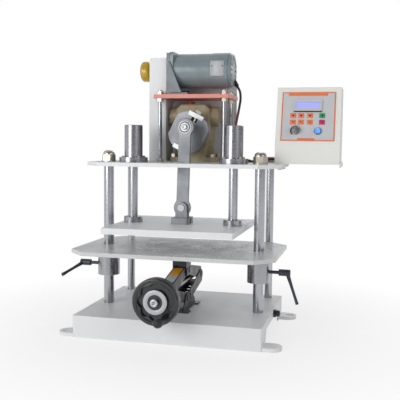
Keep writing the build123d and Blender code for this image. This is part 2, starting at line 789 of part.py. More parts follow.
def make_gearbox():
    foot_top = top_plate_z + gearbox_foot_thickness
    box_top = top_plate_z + gearbox_height
    rear_y = gearbox_front_y + gearbox_depth
    half = gearbox_width / 2
    waist = gearbox_waist_width / 2
    with BuildPart() as gearbox_housing:
        with BuildSketch(at_z(top_plate_z)):
            with Locations((0, gearbox_mid_y)):
                RectangleRounded(gearbox_foot_width, gearbox_depth, 6)
        extrude(amount=gearbox_foot_thickness)
        waist_z = crank_z - half
        with BuildSketch(at_y(rear_y)) as case:
            with BuildLine():
                Polyline((-waist, top_plate_z), (-waist, waist_z + 6), (-half, waist_z + 26),
                         (-half, box_top - gearbox_shoulder),
                         (-half + gearbox_shoulder, box_top), (half - gearbox_shoulder, box_top),
                         (half, box_top - gearbox_shoulder), (half, waist_z + 26),
                         (waist, waist_z + 6), (waist, top_plate_z), close=True)
            make_face()
            fillet(case.vertices().group_by(Axis.Z)[-1], 4)
        extrude(amount=gearbox_depth)
        front_edges = gearbox_housing.faces().sort_by(Axis.Y)[0].edges().filter_by(
            lambda edge: edge.center().Z > waist_z + 8)
        chamfer(front_edges, 3)
        disc_on(at_x(-worm_barrel_reach), [(gearbox_mid_y, worm_z)], worm_barrel_radius,
                2 * worm_barrel_reach)
        disc_on(at_y(gearbox_front_y), [(0, crank_z)], output_boss_radius, output_boss_length)
        for side in (-1, 1):
            with BuildSketch(at_y(gearbox_mid_y + gearbox_rib_thickness / 2)):
                with BuildLine():
                    Polyline((side * (waist - 1), foot_top), (side * (gearbox_foot_width / 2 - 6), foot_top),
                             (side * half, waist_z + 26), (side * (waist - 1), waist_z + 26), close=True)
                make_face()
            extrude(amount=gearbox_rib_thickness)
        disc_on(at_y(gearbox_front_y + output_shaft_in_housing + 1), [(0, crank_z)],
                output_shaft_radius + guide_clearance,
                output_shaft_in_housing + output_boss_length + 1, Mode.SUBTRACT)
        disc_on(at_x(-worm_barrel_reach), [(gearbox_mid_y, worm_z)],
                worm_shaft_radius + guide_clearance, worm_barrel_reach, Mode.SUBTRACT)
    keep(gearbox_housing, "gearbox_housing")

    with BuildPart() as gearbox_covers:
        for side in (-1, 1):
            disc_on(at_x(side * worm_barrel_reach), [(gearbox_mid_y, worm_z)],
                    worm_barrel_radius - 1, side * worm_cover_thickness)
        disc_on(at_x(-worm_barrel_reach), [(gearbox_mid_y, worm_z)],
                worm_shaft_radius + guide_clearance, -worm_cover_thickness, Mode.SUBTRACT)
        disc_on(at_y(gearbox_front_y - output_boss_length), [(0, crank_z)],
                output_cover_radius, output_cover_thickness)
        disc_on(at_y(gearbox_front_y - output_boss_length), [(0, crank_z)],
                output_shaft_radius + guide_clearance, output_cover_thickness, Mode.SUBTRACT)
    keep(gearbox_covers, "gearbox_covers")

    with BuildPart() as fixing_bolts:
        with BuildSketch(at_z(top_plate_z + guide_flange_thickness)):
            with Locations((-guide_x, press_line_y), (guide_x, press_line_y)):
                with PolarLocations(flange_screw_circle, flange_screws_per_flange, 45):
                    RegularPolygon(flange_screw_radius, 8)
        extrude(amount=flange_screw_head)
        foot_x = gearbox_foot_width / 2 - foot_bolt_inset
        foot_y = gearbox_depth / 2 - foot_bolt_inset
        hex_on(at_z(foot_top), [(sx * foot_x, gearbox_mid_y + sy * foot_y) for sx, sy in corner_signs],
               foot_bolt_across, foot_bolt_head)
        side_ring = bolt_circle(gearbox_mid_y, worm_z, worm_barrel_radius - cover_bolt_inset)
        for side in (-1, 1):
            hex_on(at_x(side * (worm_barrel_reach + worm_cover_thickness)), side_ring,
                   cover_bolt_across, side * cover_bolt_head)
        front_ring = bolt_circle(0, crank_z, output_cover_radius - cover_bolt_inset)
        hex_on(at_y(gearbox_front_y - output_boss_length - output_cover_thickness), front_ring,
               cover_bolt_across, cover_bolt_head)
    keep(fixing_bolts, "fixing_bolts")

    with BuildPart() as breather_plug:
        disc_on(at_z(box_top), [(breather_x, gearbox_mid_y)], breather_radius, breather_height)
        fillet(breather_plug.faces().sort_by(Axis.Z)[-1].edges(), 2)
    keep(breather_plug, "breather_plug")

    with BuildPart() as worm_shaft:
        inside = 30
        start = -worm_barrel_reach + inside
        disc_on(at_x(start), [(gearbox_mid_y, worm_z)], worm_shaft_radius,
                cover_mid_x - pulley_width / 2 - start)
        add_pulley(worm_z)
    keep(worm_shaft, "worm_shaft")


def add_pulley(z):
    """Flanged belt pulley in the open part, centred in the belt cover."""
    start = cover_mid_x - pulley_width / 2
    disc_on(at_x(start), [(gearbox_mid_y, z)], pulley_radius, pulley_width)
    for rim_start in (start, start + pulley_width - pulley_rim_width):
        disc_on(at_x(rim_start), [(gearbox_mid_y, z)], pulley_radius + pulley_rim,
                pulley_rim_width)


def make_motor():
    axis = [(gearbox_mid_y, motor_z)]
    with BuildPart() as motor_shaft:
        start = motor_left_x + motor_shaft_in_body
        end = cover_left_x - running_gap - hand_hub_length - hand_rim_width
        disc_on(at_x(start), axis, motor_shaft_radius, end - start)
        add_pulley(motor_z)
    keep(motor_shaft, "motor_shaft")

    with BuildPart() as motor_handwheel:
        hub_start = cover_left_x - 2 * running_gap
        disc_on(at_x(hub_start), axis, hand_hub_radius, -hand_hub_length)
        disc_on(at_x(hub_start - hand_hub_length), axis, hand_rim_radius, -hand_rim_width)
        rim = motor_handwheel.edges().filter_by(GeomType.CIRCLE).filter_by(
            lambda edge: edge.radius > hand_rim_radius - 1)
        fillet(rim, hand_rounding)
        disc_on(at_x(hub_start + 1), axis, motor_shaft_radius,
                -(hand_hub_length + hand_rim_width + 2), Mode.SUBTRACT)
    keep(motor_handwheel, "motor_handwheel")

    body_end = motor_left_x + motor_length
    with BuildPart() as motor_body:
        with BuildSketch(at_x(motor_left_x)):
            with Locations(*axis):
                RectangleRounded(motor_flange_size, motor_flange_size, 8)
        extrude(amount=motor_flange_thickness)
        disc_on(at_x(motor_left_x), axis, motor_radius, motor_length)
        disc_on(at_x(body_end - motor_tail_length), axis, motor_tail_radius, motor_tail_length)
        disc_on(at_x(motor_left_x), axis, motor_shaft_radius + guide_clearance,
                motor_shaft_in_body + 1, Mode.SUBTRACT)
    keep(motor_body, "motor_body")

    with BuildPart() as motor_end_cap:
        disc_on(at_x(body_end), axis, motor_cap_radius, motor_cap_length)
        fillet(motor_end_cap.faces().sort_by(Axis.X)[-1].edges(), motor_cap_rounding)
        vent_length = motor_cap_radius * 0.45
        with BuildSketch(at_x(body_end + motor_cap_length)):
            with Locations(*axis):
                with PolarLocations(motor_cap_radius * 0.6, motor_vent_count):
                    Rectangle(vent_length, motor_vent_width)
        extrude(amount=-motor_cap_length / 2, mode=Mode.SUBTRACT)
    keep(motor_end_cap, "motor_end_cap")

    with BuildPart() as motor_bracket:
        left = motor_left_x - bracket_thickness
        near = gearbox_mid_y - bracket_width / 2
        with BuildSketch(at_x(left)):
            with Locations((gearbox_mid_y, platform_top_z + bracket_height / 2)):
                Rectangle(bracket_width, bracket_height)
        extrude(amount=bracket_thickness)
        with BuildSketch(at_z(platform_top_z)):
            with Locations((left + bracket_foot_length / 2, gearbox_mid_y)):
                Rectangle(bracket_foot_length, bracket_width)
        extrude(amount=bracket_foot_thickness)
        foot_top = platform_top_z + bracket_foot_thickness
        for start in (near + gusset_thickness, near + bracket_width):
            with BuildSketch(at_y(start)):
                with BuildLine():
                    Polyline((motor_left_x, foot_top), (motor_left_x + gusset_length, foot_top),
                             (motor_left_x, foot_top + gusset_height), close=True)
                make_face()
            extrude(amount=gusset_thickness)
        with BuildSketch(at_x(motor_left_x)):
            with Locations(*axis):
                Rectangle(motor_flange_size + 2, motor_flange_size + 2)
        extrude(amount=gusset_length, mode=Mode.SUBTRACT)
        disc_on(at_x(left - 1), axis, motor_shaft_radius + 4, bracket_thickness + 2,
                Mode.SUBTRACT)
    keep(motor_bracket, "motor_bracket")


def make_platform():
    left_x = platform_center_x - platform_width / 2
    posts = [(platform_center_x + side * post_spacing_x / 2, y)
             for side in (-1, 1) for y in (post_front_y, post_rear_y)]
    notch_x = cover_left_x + cover_width + platform_notch_gap
    with BuildPart() as motor_platform:
        with BuildSketch(at_z(platform_z)) as outline:
            with Locations((platform_center_x, platform_front_y + platform_depth / 2)):
                Rectangle(platform_width, platform_depth)
            fillet(outline.vertices(), 3)
            notch_width = notch_x - left_x + 10
            with Locations((notch_x - notch_width / 2, cover_front_y + cover_depth / 2)):
                Rectangle(notch_width, cover_depth + 2 * platform_notch_gap, mode=Mode.SUBTRACT)
            with Locations(*posts):
                Circle(post_radius, mode=Mode.SUBTRACT)
        extrude(amount=platform_thickness)
    keep(motor_platform, "motor_platform")

    with BuildPart() as platform_posts:
        disc_on(at_z(top_plate_z), posts, post_radius,
                platform_above_plate + platform_thickness + post_above_platform)
    keep(platform_posts, "platform_posts")

    with BuildPart() as platform_nuts:
        for z in (top_plate_z, platform_z - post_nut_height, platform_top_z):
            with BuildSketch(at_z(z)):
                with Locations(*posts):
                    RegularPolygon(post_nut_across / 2, 6, major_radius=False)
                    Circle(post_radius, mode=Mode.SUBTRACT)
            extrude(amount=post_nut_height)
    keep(platform_nuts, "platform_nuts")

    with BuildPart() as belt_cover:
        with BuildSketch(at_z(top_plate_z)):
            with Locations((cover_mid_x, cover_front_y + cover_depth / 2)):
                Rectangle(cover_width, cover_depth)
        extrude(amount=cover_height)
        top_edges = belt_cover.faces().sort_by(Axis.Z)[-1].edges()
        fillet(top_edges.filter_by(Axis.Y).sort_by(Axis.X)[0], cover_rounding)
        offset(amount=-cover_wall, openings=belt_cover.faces().sort_by(Axis.Z)[0])
        with BuildSketch(at_z(top_plate_z)):
            with Locations((cover_mid_x, cover_front_y + cover_depth / 2)):
                Rectangle(cover_width + 2 * cover_flange, cover_depth)
                Rectangle(cover_width - 2 * cover_wall, cover_depth - 2 * cover_wall,
                          mode=Mode.SUBTRACT)
        extrude(amount=cover_flange_thickness)
        disc_on(at_x(cover_left_x - 1), [(gearbox_mid_y, motor_z)],
                motor_shaft_radius + cover_shaft_gap, cover_width + 2, Mode.SUBTRACT)
        disc_on(at_x(cover_mid_x), [(gearbox_mid_y, worm_z)],
                worm_shaft_radius + cover_shaft_gap, cover_width, Mode.SUBTRACT)
    keep(belt_cover, "belt_cover")

    with BuildPart() as drive_belt:
        inner = pulley_radius + running_gap
        outer = inner + belt_thickness
        middle = (worm_z + motor_z) / 2
        distance = motor_z - worm_z
        with BuildSketch(at_x(cover_mid_x - belt_width / 2)):
            with Locations((gearbox_mid_y, middle)):
                SlotCenterToCenter(distance, 2 * outer, rotation=90)
                SlotCenterToCenter(distance, 2 * inner, rotation=90, mode=Mode.SUBTRACT)
        extrude(amount=belt_width)
    keep(drive_belt, "drive_belt")

    with BuildPart() as back_panel:
        middle_x = back_panel_left_x + back_panel_width / 2
        with BuildSketch(at_z(top_plate_z)):
            with Locations((middle_x, back_panel_front_y + back_panel_thickness / 2)):
                Rectangle(back_panel_width, back_panel_thickness)
        extrude(amount=back_panel_height)
        with BuildSketch(at_z(top_plate_z)):
            with Locations((middle_x, back_panel_front_y + back_panel_foot / 2)):
                Rectangle(back_panel_width, back_panel_foot)
        extrude(amount=back_panel_thickness)
    keep(back_panel, "back_panel")


def panel_plane():
    """Plane on the leaning face of the control box: origin mid width at the bend."""
    face_lean = atan2(box_lean, box_height - box_front_height)
    return Plane(origin=(box_left_x + box_width / 2, box_front_y, box_z + box_front_height),
                 x_dir=(1, 0, 0), z_dir=(0, -cos(face_lean), sin(face_lean)))


def make_control_box():
    rear_y = box_front_y + box_depth
    face = panel_plane()
    with BuildPart() as control_box:
        with BuildSketch(at_x(box_left_x)):
            with BuildLine():
                Polyline((box_front_y, box_z), (box_front_y, box_z + box_front_height),
                         (box_front_y + box_lean, box_z + box_height),
                         (rear_y, box_z + box_height), (rear_y, box_z), close=True)
            make_face()
        extrude(amount=box_width)
        long_edges = control_box.edges().filter_by(Axis.X).group_by(Axis.Z)[-1]
        fillet(long_edges, box_rounding)
        offset(amount=-box_wall, openings=control_box.faces().sort_by(Axis.Z)[0])
        with BuildSketch(face.offset(1)):
            with Locations((knob_x, knob_from_bend)):
                Circle(knob_stem_radius + running_gap)
            with Locations((button_x, button_from_bend)):
                Circle(button_stem_radius + running_gap)
        extrude(amount=-box_wall - 3, mode=Mode.SUBTRACT)
    keep(control_box, "control_box")

    with BuildPart() as control_panel:
        with BuildSketch(face) as outline:
            with Locations((0, panel_from_bend + panel_height / 2)):
                RectangleRounded(panel_width, panel_height, panel_corner)
            with Locations((knob_x, knob_from_bend)):
                Circle(knob_stem_radius + running_gap, mode=Mode.SUBTRACT)
            with Locations((button_x, button_from_bend)):
                Circle(button_stem_radius + running_gap, mode=Mode.SUBTRACT)
        extrude(amount=panel_thickness)
        corner_x = panel_width / 2 - panel_screw_inset
        corner_y = panel_height / 2 - panel_screw_inset
        mid_y = panel_from_bend + panel_height / 2
        with BuildSketch(face.offset(panel_thickness)):
            with Locations(*[(sx * corner_x, mid_y + sy * corner_y) for sx, sy in corner_signs]):
                RegularPolygon(panel_screw_radius, 8)
        extrude(amount=panel_screw_head)
    keep(control_panel, "control_panel")

    with BuildPart() as display_bezel:
        with BuildSketch(face.offset(panel_thickness)):
            with Locations((bezel_shift_x, bezel_center_from_bend)):
                RectangleRounded(bezel_width, bezel_height, 2)
                Rectangle(window_width, window_height, mode=Mode.SUBTRACT)
        extrude(amount=bezel_thickness)
    keep(display_bezel, "display_bezel")

    with BuildPart() as display_window:
        with BuildSketch(face.offset(panel_thickness)):
            with Locations((bezel_shift_x, bezel_center_from_bend)):
                Rectangle(window_width, window_height)
        extrude(amount=window_rise)
    keep(display_window, "display_window")

    with BuildPart() as keypad_keys:
        places = [(x, y) for y in key_rows_from_bend for x in key_columns_x]
        with BuildSketch(face.offset(panel_thickness)):
            with Locations(*places):
                RectangleRounded(key_size, key_size * 0.88, key_rounding)
        extrude(amount=key_thickness)
    keep(keypad_keys, "keypad_keys")

    with BuildPart() as speed_knob:
        outside = face.offset(panel_thickness + running_gap)
        with BuildSketch(outside):
            with Locations((knob_x, knob_from_bend)):
                Circle(knob_collar_radius)
        extrude(amount=knob_collar_height)
        with BuildSketch(outside.offset(knob_collar_height)):
            with Locations((knob_x, knob_from_bend)):
                Circle(knob_radius)
        extrude(amount=knob_height - knob_collar_height, taper=3)
        with BuildSketch(outside.offset(knob_height)):
            with Locations((knob_x, knob_from_bend + knob_radius / 2)):
                Rectangle(1.2, knob_radius)
        extrude(amount=-0.6, mode=Mode.SUBTRACT)
        with BuildSketch(outside):
            with Locations((knob_x, knob_from_bend)):
                Circle(knob_stem_radius)
        extrude(amount=-(panel_thickness + box_wall + 4))
    keep(speed_knob, "speed_knob")

    with BuildPart() as power_button:
        with BuildSketch(face.offset(panel_thickness + button_rest)):
            with Locations((button_x, button_from_bend)):
                Circle(button_radius)
        extrude(amount=button_height, taper=4)
        with BuildSketch(face.offset(panel_thickness + button_rest)):
            with Locations((button_x, button_from_bend)):
                Circle(button_stem_radius)
        extrude(amount=-(panel_thickness + button_rest + box_wall + 4))
    keep(power_button, "power_button")

    with BuildPart() as control_bracket:
        margin = bracket_plate_margin
        mid_y = box_front_y + box_depth / 2
        plate_right = box_left_x + box_width + margin
        with BuildSketch(at_z(top_plate_z)):
            with Locations((box_left_x + box_width / 2, mid_y)):
                Rectangle(box_width + 2 * margin, box_depth + 2 * margin)
        extrude(amount=bracket_plate_thickness)
        inner_lip = top_plate_width / 2 + running_gap
        for lip_left, length in ((plate_right - margin, box_depth + 2 * margin),
                                 (inner_lip, box_depth * 0.72)):
            with BuildSketch(at_z(top_plate_z - bracket_lip)):
                with Locations((lip_left + margin / 2, box_front_y - margin + length / 2)):
                    Rectangle(margin, length)
            extrude(amount=bracket_lip)
        bolt_x = (box_left_x + top_plate_width / 2) / 2
        bolts = [(bolt_x, mid_y - 10 - bracket_bolt_spacing / 2),
                 (bolt_x, mid_y - 10 + bracket_bolt_spacing / 2)]
        hex_on(at_z(top_plate_under_z), bolts, bracket_bolt_across, -bracket_bolt_head)
    keep(control_bracket, "control_bracket")


def lead_boot_axis():
    """Line of the lead's boot: it leaves the motor's end face slanting down and outward."""
    slant = radians(lead_boot_slant)
    start = Vector(motor_left_x + motor_length + motor_cap_length,
                   gearbox_mid_y + lead_exit_y, motor_z - lead_exit_drop)
    return start, Vector(sin(slant), 0, -cos(slant))


def lead_route():
    """Corner points of the motor lead, from its boot down to the gland of the control box."""
    start, direction = lead_boot_axis()
    first = start + direction * lead_boot_length
    second = first + direction * lead_first_run
    lying = top_plate_z + lead_radius
    gland_z = top_plate_z + box_gland_above_plate
    return [tuple(first), tuple(second), (112, 120, 560), (107, 120, 530), (101, 119, 498),
            (98, 118, 466), (99, 118, 436), (104.5, 116.7, 421.5), (114, 114.3, 410.5),
            (127.5, 110.5, lying), (147, 104.5, lying), (168, 100.5, lying + 1),
            (188, box_gland_y, gland_z), (box_left_x - lead_gland_length, box_gland_y, gland_z)]


def corner_radii(points):
    """Largest tangent arc that the two runs at each corner leave room for."""
    radii = []
    for before, here, after in zip(points, points[1:], points[2:]):
        first = Vector(*here) - Vector(*before)
        second = Vector(*after) - Vector(*here)
        half_turn = radians(first.get_angle(second)) / 2
        radii.append(0.45 * min(first.length, second.length) / max(half_turn, 0.01))
    return radii


def make_lead():
    route = lead_route()
    radii = corner_radii(route)
    print("lead arc radii", [round(radius) for radius in radii])
    with BuildPart() as motor_lead:
        with BuildLine() as path:
            FilletPolyline(*route, radius=radii)
        with BuildSketch(Plane(origin=path.line @ 0, z_dir=path.line % 0)):
            Circle(lead_radius)
        sweep()
    length = path.wires()[0].length
    ratio = motor_lead.part.volume / length / (pi * lead_radius**2)
    print("lead length", round(length), "volume over section times length", round(ratio, 3))
    keep(motor_lead, "motor_lead")

    before, after = Vector(*route[lead_clip_run]), Vector(*route[lead_clip_run + 1])
    heading = (after - before).normalized()
    clip_plane = Plane(origin=(before + after) / 2 - heading * lead_clip_width / 2,
                       x_dir=Vector(0, 0, 1).cross(heading), z_dir=heading)
    with BuildPart() as lead_fittings:
        cap_face, direction = lead_boot_axis()
        boot_root = cap_face - direction * lead_boot_length
        with BuildSketch(Plane(origin=boot_root, x_dir=(0, 1, 0), z_dir=direction)):
            Circle(lead_boot_radius)
        extrude(amount=2 * lead_boot_length)
        with BuildSketch(at_x(cap_face.X)):
            with Locations((cap_face.Y, cap_face.Z)):
                Circle(4 * lead_boot_radius)
        extrude(amount=-2 * lead_boot_length, mode=Mode.SUBTRACT)
        disc_on(at_x(box_left_x), [(box_gland_y, route[-1][2])], lead_gland_radius,
                -lead_gland_length)
        clip_outer = lead_radius + running_gap + lead_clip_wall
        with BuildSketch(clip_plane):
            Circle(clip_outer)
            with Locations((0, lead_clip_wall / 2 - lead_radius)):
                Rectangle(lead_clip_foot, lead_clip_wall)
            Circle(lead_radius + running_gap, mode=Mode.SUBTRACT)
            with Locations((0, -lead_radius - clip_outer)):
                Rectangle(2 * lead_clip_foot, 2 * clip_outer, mode=Mode.SUBTRACT)
        extrude(amount=lead_clip_width)
    keep(lead_fittings, "lead_fittings")


def make_jack_base():
    front_pivot = (press_line_y - jack_pivot_spread, jack_base_pivot_z)
    rear_pivot = (press_line_y + jack_pivot_spread, jack_base_pivot_z)
    half_length = jack_foot_length / 2
    with BuildPart() as jack_base:
        with BuildSketch(at_z(base_top_z)) as foot:
            with Locations((0, press_line_y)):
                Rectangle(2 * jack_waist_half_width, jack_foot_length)
            for end in (-1, 1):
                with Locations((0, press_line_y + end * (half_length - jack_foot_end / 2))):
                    Rectangle(2 * jack_foot_half_width, jack_foot_end)
            fillet(foot.vertices(), 3)
        extrude(amount=jack_base_sheet)
        with BuildSketch(at_x(-base_cheek_outer)):
            with BuildLine():
                low = base_top_z + jack_base_sheet
                top = jack_base_pivot_z + jack_arm_end_radius
                Polyline((press_line_y - half_length + 4, low), (press_line_y - half_length + 10, low + 9),
                         (front_pivot[0] - 12, top), (rear_pivot[0] + 12, top),
                         (press_line_y + half_length - 10, low + 9), (press_line_y + half_length - 4, low),
                         close=True)
            make_face()
        extrude(amount=2 * base_cheek_outer)
        with BuildSketch(at_z(low)):
            with Locations((0, press_line_y)):
                Rectangle(2 * base_cheek_inner, jack_foot_length + 2)
        extrude(amount=jack_base_pivot_height + jack_arm_end_radius, mode=Mode.SUBTRACT)
        pivots = [front_pivot, rear_pivot]
        disc_on(at_x(-base_cheek_outer), pivots, jack_pin_radius, 2 * base_cheek_outer)
        disc_on(at_x(base_cheek_outer), pivots, jack_pin_head_radius, jack_pin_head)
        disc_on(at_x(-base_cheek_outer), pivots, jack_pin_head_radius, -jack_pin_head)
    keep(jack_base, "jack_base")


def make_arm(label, end, upper):
    """Channel arm from a fixed pivot to the trunnion at one end of the jack."""
    pivot_z = jack_saddle_pivot_z if upper else jack_base_pivot_z
    outer = upper_outer_half if upper else lower_outer_half
    inner = outer - jack_sheet
    origin = Vector(0, press_line_y + end * jack_pivot_spread, pivot_z)
    rise = -jack_angle if upper else jack_angle
    along = Vector(0, end * cos(rise), sin(rise))
    plane = Plane(origin=origin, x_dir=along, z_dir=(1, 0, 0))
    web = 1 if (plane.y_dir.Z > 0) == upper else -1
    length = jack_arm_length
    crown = web * (jack_arm_web_rise - jack_arm_web_round)
    slope = (jack_arm_web_rise - jack_arm_end_radius) / length
    with BuildPart() as arm:
        with BuildSketch(plane.offset(-outer)):
            with Locations((0, 0)):
                Circle(jack_arm_end_radius)
            with Locations((length, 0)):
                Circle(jack_arm_trunnion_radius)
            with Locations((length - 2, crown)):
                Circle(jack_arm_web_round)
            make_hull()
        extrude(amount=2 * outer)
        beyond = 2 * jack_arm_web_rise
        near = jack_arm_end_radius - jack_sheet + slope * jack_web_start
        far = jack_arm_end_radius - jack_sheet + slope * (length + beyond)
        with BuildSketch(plane.offset(-inner)):
            with BuildLine():
                Polyline((jack_web_start, web * near), (length + beyond, web * far),
                         (length + beyond, -web * beyond), (-beyond, -web * beyond),
                         (-beyond, web * beyond), (jack_web_start, web * beyond), close=True)
            make_face()
        extrude(amount=2 * inner, mode=Mode.SUBTRACT)
        pivot_gap = jack_open_pin_clearance if upper else jack_pin_clearance
        with BuildSketch(plane.offset(-outer - 1)):
            Circle(jack_pin_radius + pivot_gap)
            with Locations((length, 0)):
                Circle(jack_pin_radius + jack_pin_clearance)
        extrude(amount=2 * outer + 2, mode=Mode.SUBTRACT)
        if not upper:
            cut_windows(plane, web, length)
    keep(arm, label)


def cut_windows(plane, web, length):
    """Row of lightening windows through the web of a lower arm, in the open part."""
    for n in range(3):
        along = plane.x_dir * (length * 0.36 + n * jack_window_pitch)
        spot = Plane(origin=plane.origin + along, x_dir=plane.z_dir, z_dir=plane.y_dir * web)
        with BuildSketch(spot) as window:
            RectangleRounded(jack_window_width, jack_window_length, 3)
        extrude(window.sketch, amount=2 * jack_arm_web_rise, mode=Mode.SUBTRACT)


def make_trunnion(label, end):
    y = press_line_y + end * trunnion_reach
    with BuildPart() as trunnion:
        block_half = upper_inner_half - jack_side_gap
        disc_on(at_x(-block_half), [(y, trunnion_z)], jack_block_radius, 2 * block_half)
        journal_half = lower_outer_half + jack_side_gap
        disc_on(at_x(-journal_half), [(y, trunnion_z)], jack_pin_radius, 2 * journal_half)
        disc_on(at_x(journal_half), [(y, trunnion_z)], jack_pin_head_radius, jack_pin_head)
        disc_on(at_x(-journal_half), [(y, trunnion_z)], jack_pin_head_radius, -jack_pin_head)
        bore = jack_screw_radius + (guide_clearance if end < 0 else jack_screw_clearance)
        disc_on(at_y(y + jack_block_radius + 1), [(0, trunnion_z)], bore,
                2 * jack_block_radius + 2, Mode.SUBTRACT)
    keep(trunnion, label)


def make_jack_screw():
    front_y = press_line_y - trunnion_reach
    rear_y = press_line_y + trunnion_reach + jack_screw_tail
    wheel_back_y = jack_wheel_front_y + jack_wheel_hub_length
    with BuildPart() as jack_screw:
        disc_on(at_y(rear_y), [(0, trunnion_z)], jack_screw_radius, rear_y - jack_wheel_front_y)
        collar_y = front_y - jack_block_radius - jack_side_gap
        disc_on(at_y(collar_y), [(0, trunnion_z)], thrust_collar_radius, thrust_collar_length)
        disc_on(at_y(front_y + jack_block_radius + jack_side_gap + thrust_collar_length),
                [(0, trunnion_z)], thrust_collar_radius, thrust_collar_length)
        hex_on(at_y(jack_wheel_front_y), [(0, trunnion_z)], wheel_nut_across, wheel_nut_height)
    keep(jack_screw, "jack_screw")

    with BuildPart() as jack_handwheel:
        rim_inner = jack_wheel_radius - jack_wheel_rim_width
        with BuildSketch(Plane.YZ) as section:
            with Locations((jack_wheel_front_y + jack_wheel_rim_depth / 2,
                            trunnion_z + jack_wheel_radius - jack_wheel_rim_width / 2)):
                RectangleRounded(jack_wheel_rim_depth, jack_wheel_rim_width, 4)
            middle = (rim_inner + 2 + jack_screw_radius) / 2
            with Locations((jack_wheel_front_y + jack_wheel_rim_depth / 2, trunnion_z + middle)):
                Rectangle(jack_wheel_web, rim_inner + 2 - jack_screw_radius)
            hub_middle = (jack_wheel_hub_radius + jack_screw_radius) / 2
            with Locations(((jack_wheel_front_y + wheel_back_y) / 2, trunnion_z + hub_middle)):
                Rectangle(jack_wheel_hub_length, jack_wheel_hub_radius - jack_screw_radius)
        revolve(axis=Axis((0, 0, trunnion_z), (0, 1, 0)))
        pivot = handle_point()
        disc_on(at_y(jack_wheel_front_y + jack_wheel_rim_depth / 2), [pivot],
                handle_boss_radius, jack_wheel_rim_depth / 2)
        disc_on(at_y(jack_wheel_front_y + jack_wheel_rim_depth), [pivot],
                handle_stem_radius + fit_clearance, jack_wheel_rim_depth + 1, Mode.SUBTRACT)
    keep(jack_handwheel, "jack_handwheel")

    with BuildPart() as wheel_handle:
        start = jack_wheel_front_y - running_gap
        pivot_x, pivot_z = handle_point()
        with BuildSketch(Plane(origin=(pivot_x, 0, pivot_z), x_dir=(1, 0, 0), z_dir=(0, 0, 1))):
            with BuildLine():
                Polyline((0, start), (handle_neck_radius, start),
                         (handle_neck_radius, start - 4), (handle_neck_radius - 1, start - 14))
                Spline((handle_neck_radius - 1, start - 14), (handle_end_radius, start - 36),
                       (handle_end_radius * 0.55, start - handle_length + 1),
                       tangents=[(0, -1), (-1, -0.6)])
                Line((handle_end_radius * 0.55, start - handle_length + 1), (0, start - handle_length))
                Line((0, start - handle_length), (0, start))
            make_face()
        revolve(axis=Axis((pivot_x, 0, pivot_z), (0, 1, 0)))
        disc_on(at_y(start), [(pivot_x, pivot_z)], handle_stem_radius,
                -(jack_wheel_rim_depth - 4))
    keep(wheel_handle, "wheel_handle")


def handle_point():
    """Where the revolving handle stands on the wheel, in X and Z."""
    turn = radians(handle_angle)
    return (handle_circle * cos(turn), trunnion_z + handle_circle * sin(turn))


def main():
    os.makedirs("parts", exist_ok=True)
    make_base()
    make_frame()
    make_table()
    make_clamp_lever("left_clamp_lever", -1, left_clamp_angle)
    make_clamp_lever("right_clamp_lever", 1, right_clamp_angle)
    make_platen()
    make_rod()
    make_crank()
    make_gearbox()
    make_motor()
    make_platform()
    make_control_box()
    make_lead()
    make_jack_base()
    for end, place in ((-1, "front"), (1, "rear")):
        make_arm(f"{place}_lower_arm", end, upper=False)
        make_arm(f"{place}_upper_arm", end, upper=True)
        make_trunnion(f"{place}_trunnion", end)
    make_jack_screw()
    print("pin heights", round(clevis_pin_z, 1), "platen top", round(platen_top_z, 1),
          "table top", round(table_top_z, 1), "jack angle", round(degrees(jack_angle), 2),
          "trunnion", round(trunnion_z, 1), round(trunnion_reach, 1))


main()
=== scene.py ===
"""Looks of a foam compression fatigue tester, laid out as an add-on and run as a script."""
import math

import bmesh
import bpy
from bpy.props import FloatProperty, FloatVectorProperty, IntProperty, PointerProperty
from mathutils import Matrix, Vector


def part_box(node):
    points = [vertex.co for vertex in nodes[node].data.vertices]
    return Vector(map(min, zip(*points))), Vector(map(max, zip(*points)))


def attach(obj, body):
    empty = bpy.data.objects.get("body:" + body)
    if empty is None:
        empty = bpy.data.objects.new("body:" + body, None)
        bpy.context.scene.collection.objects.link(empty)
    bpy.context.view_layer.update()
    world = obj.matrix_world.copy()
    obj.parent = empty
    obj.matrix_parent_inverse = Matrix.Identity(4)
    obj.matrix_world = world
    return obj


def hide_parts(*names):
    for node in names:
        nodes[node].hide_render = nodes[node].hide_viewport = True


bl_info = {
    "name": "Foam compression fatigue tester",
    "version": (1, 0, 0),
    "blender": (4, 5, 0),
    "location": "View3D > Sidebar > Tester",
    "description": "Dresses the packed foam compression fatigue tester",
    "category": "Object",
}

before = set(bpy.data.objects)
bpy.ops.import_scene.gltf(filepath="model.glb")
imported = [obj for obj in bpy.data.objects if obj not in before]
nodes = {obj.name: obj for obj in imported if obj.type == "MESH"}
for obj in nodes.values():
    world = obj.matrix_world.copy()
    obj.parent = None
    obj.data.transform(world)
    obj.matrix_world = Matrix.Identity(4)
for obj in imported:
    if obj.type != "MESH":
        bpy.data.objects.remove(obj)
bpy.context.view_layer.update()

RIGHT = Vector((1, 0, 0))
BACK = Vector((0, 1, 0))
FORWARD = Vector((0, -1, 0))
UP = Vector((0, 0, 1))

# The camera, solved from the photograph
CAMERA_PLACE = Vector((0.44005, -1.64344, 0.45208))
CAMERA_LENS = 63.106
CAMERA_YAW = math.radians(13.75)
CAMERA_PITCH = math.radians(4.75)
CAMERA_ROLL = math.radians(0.6)

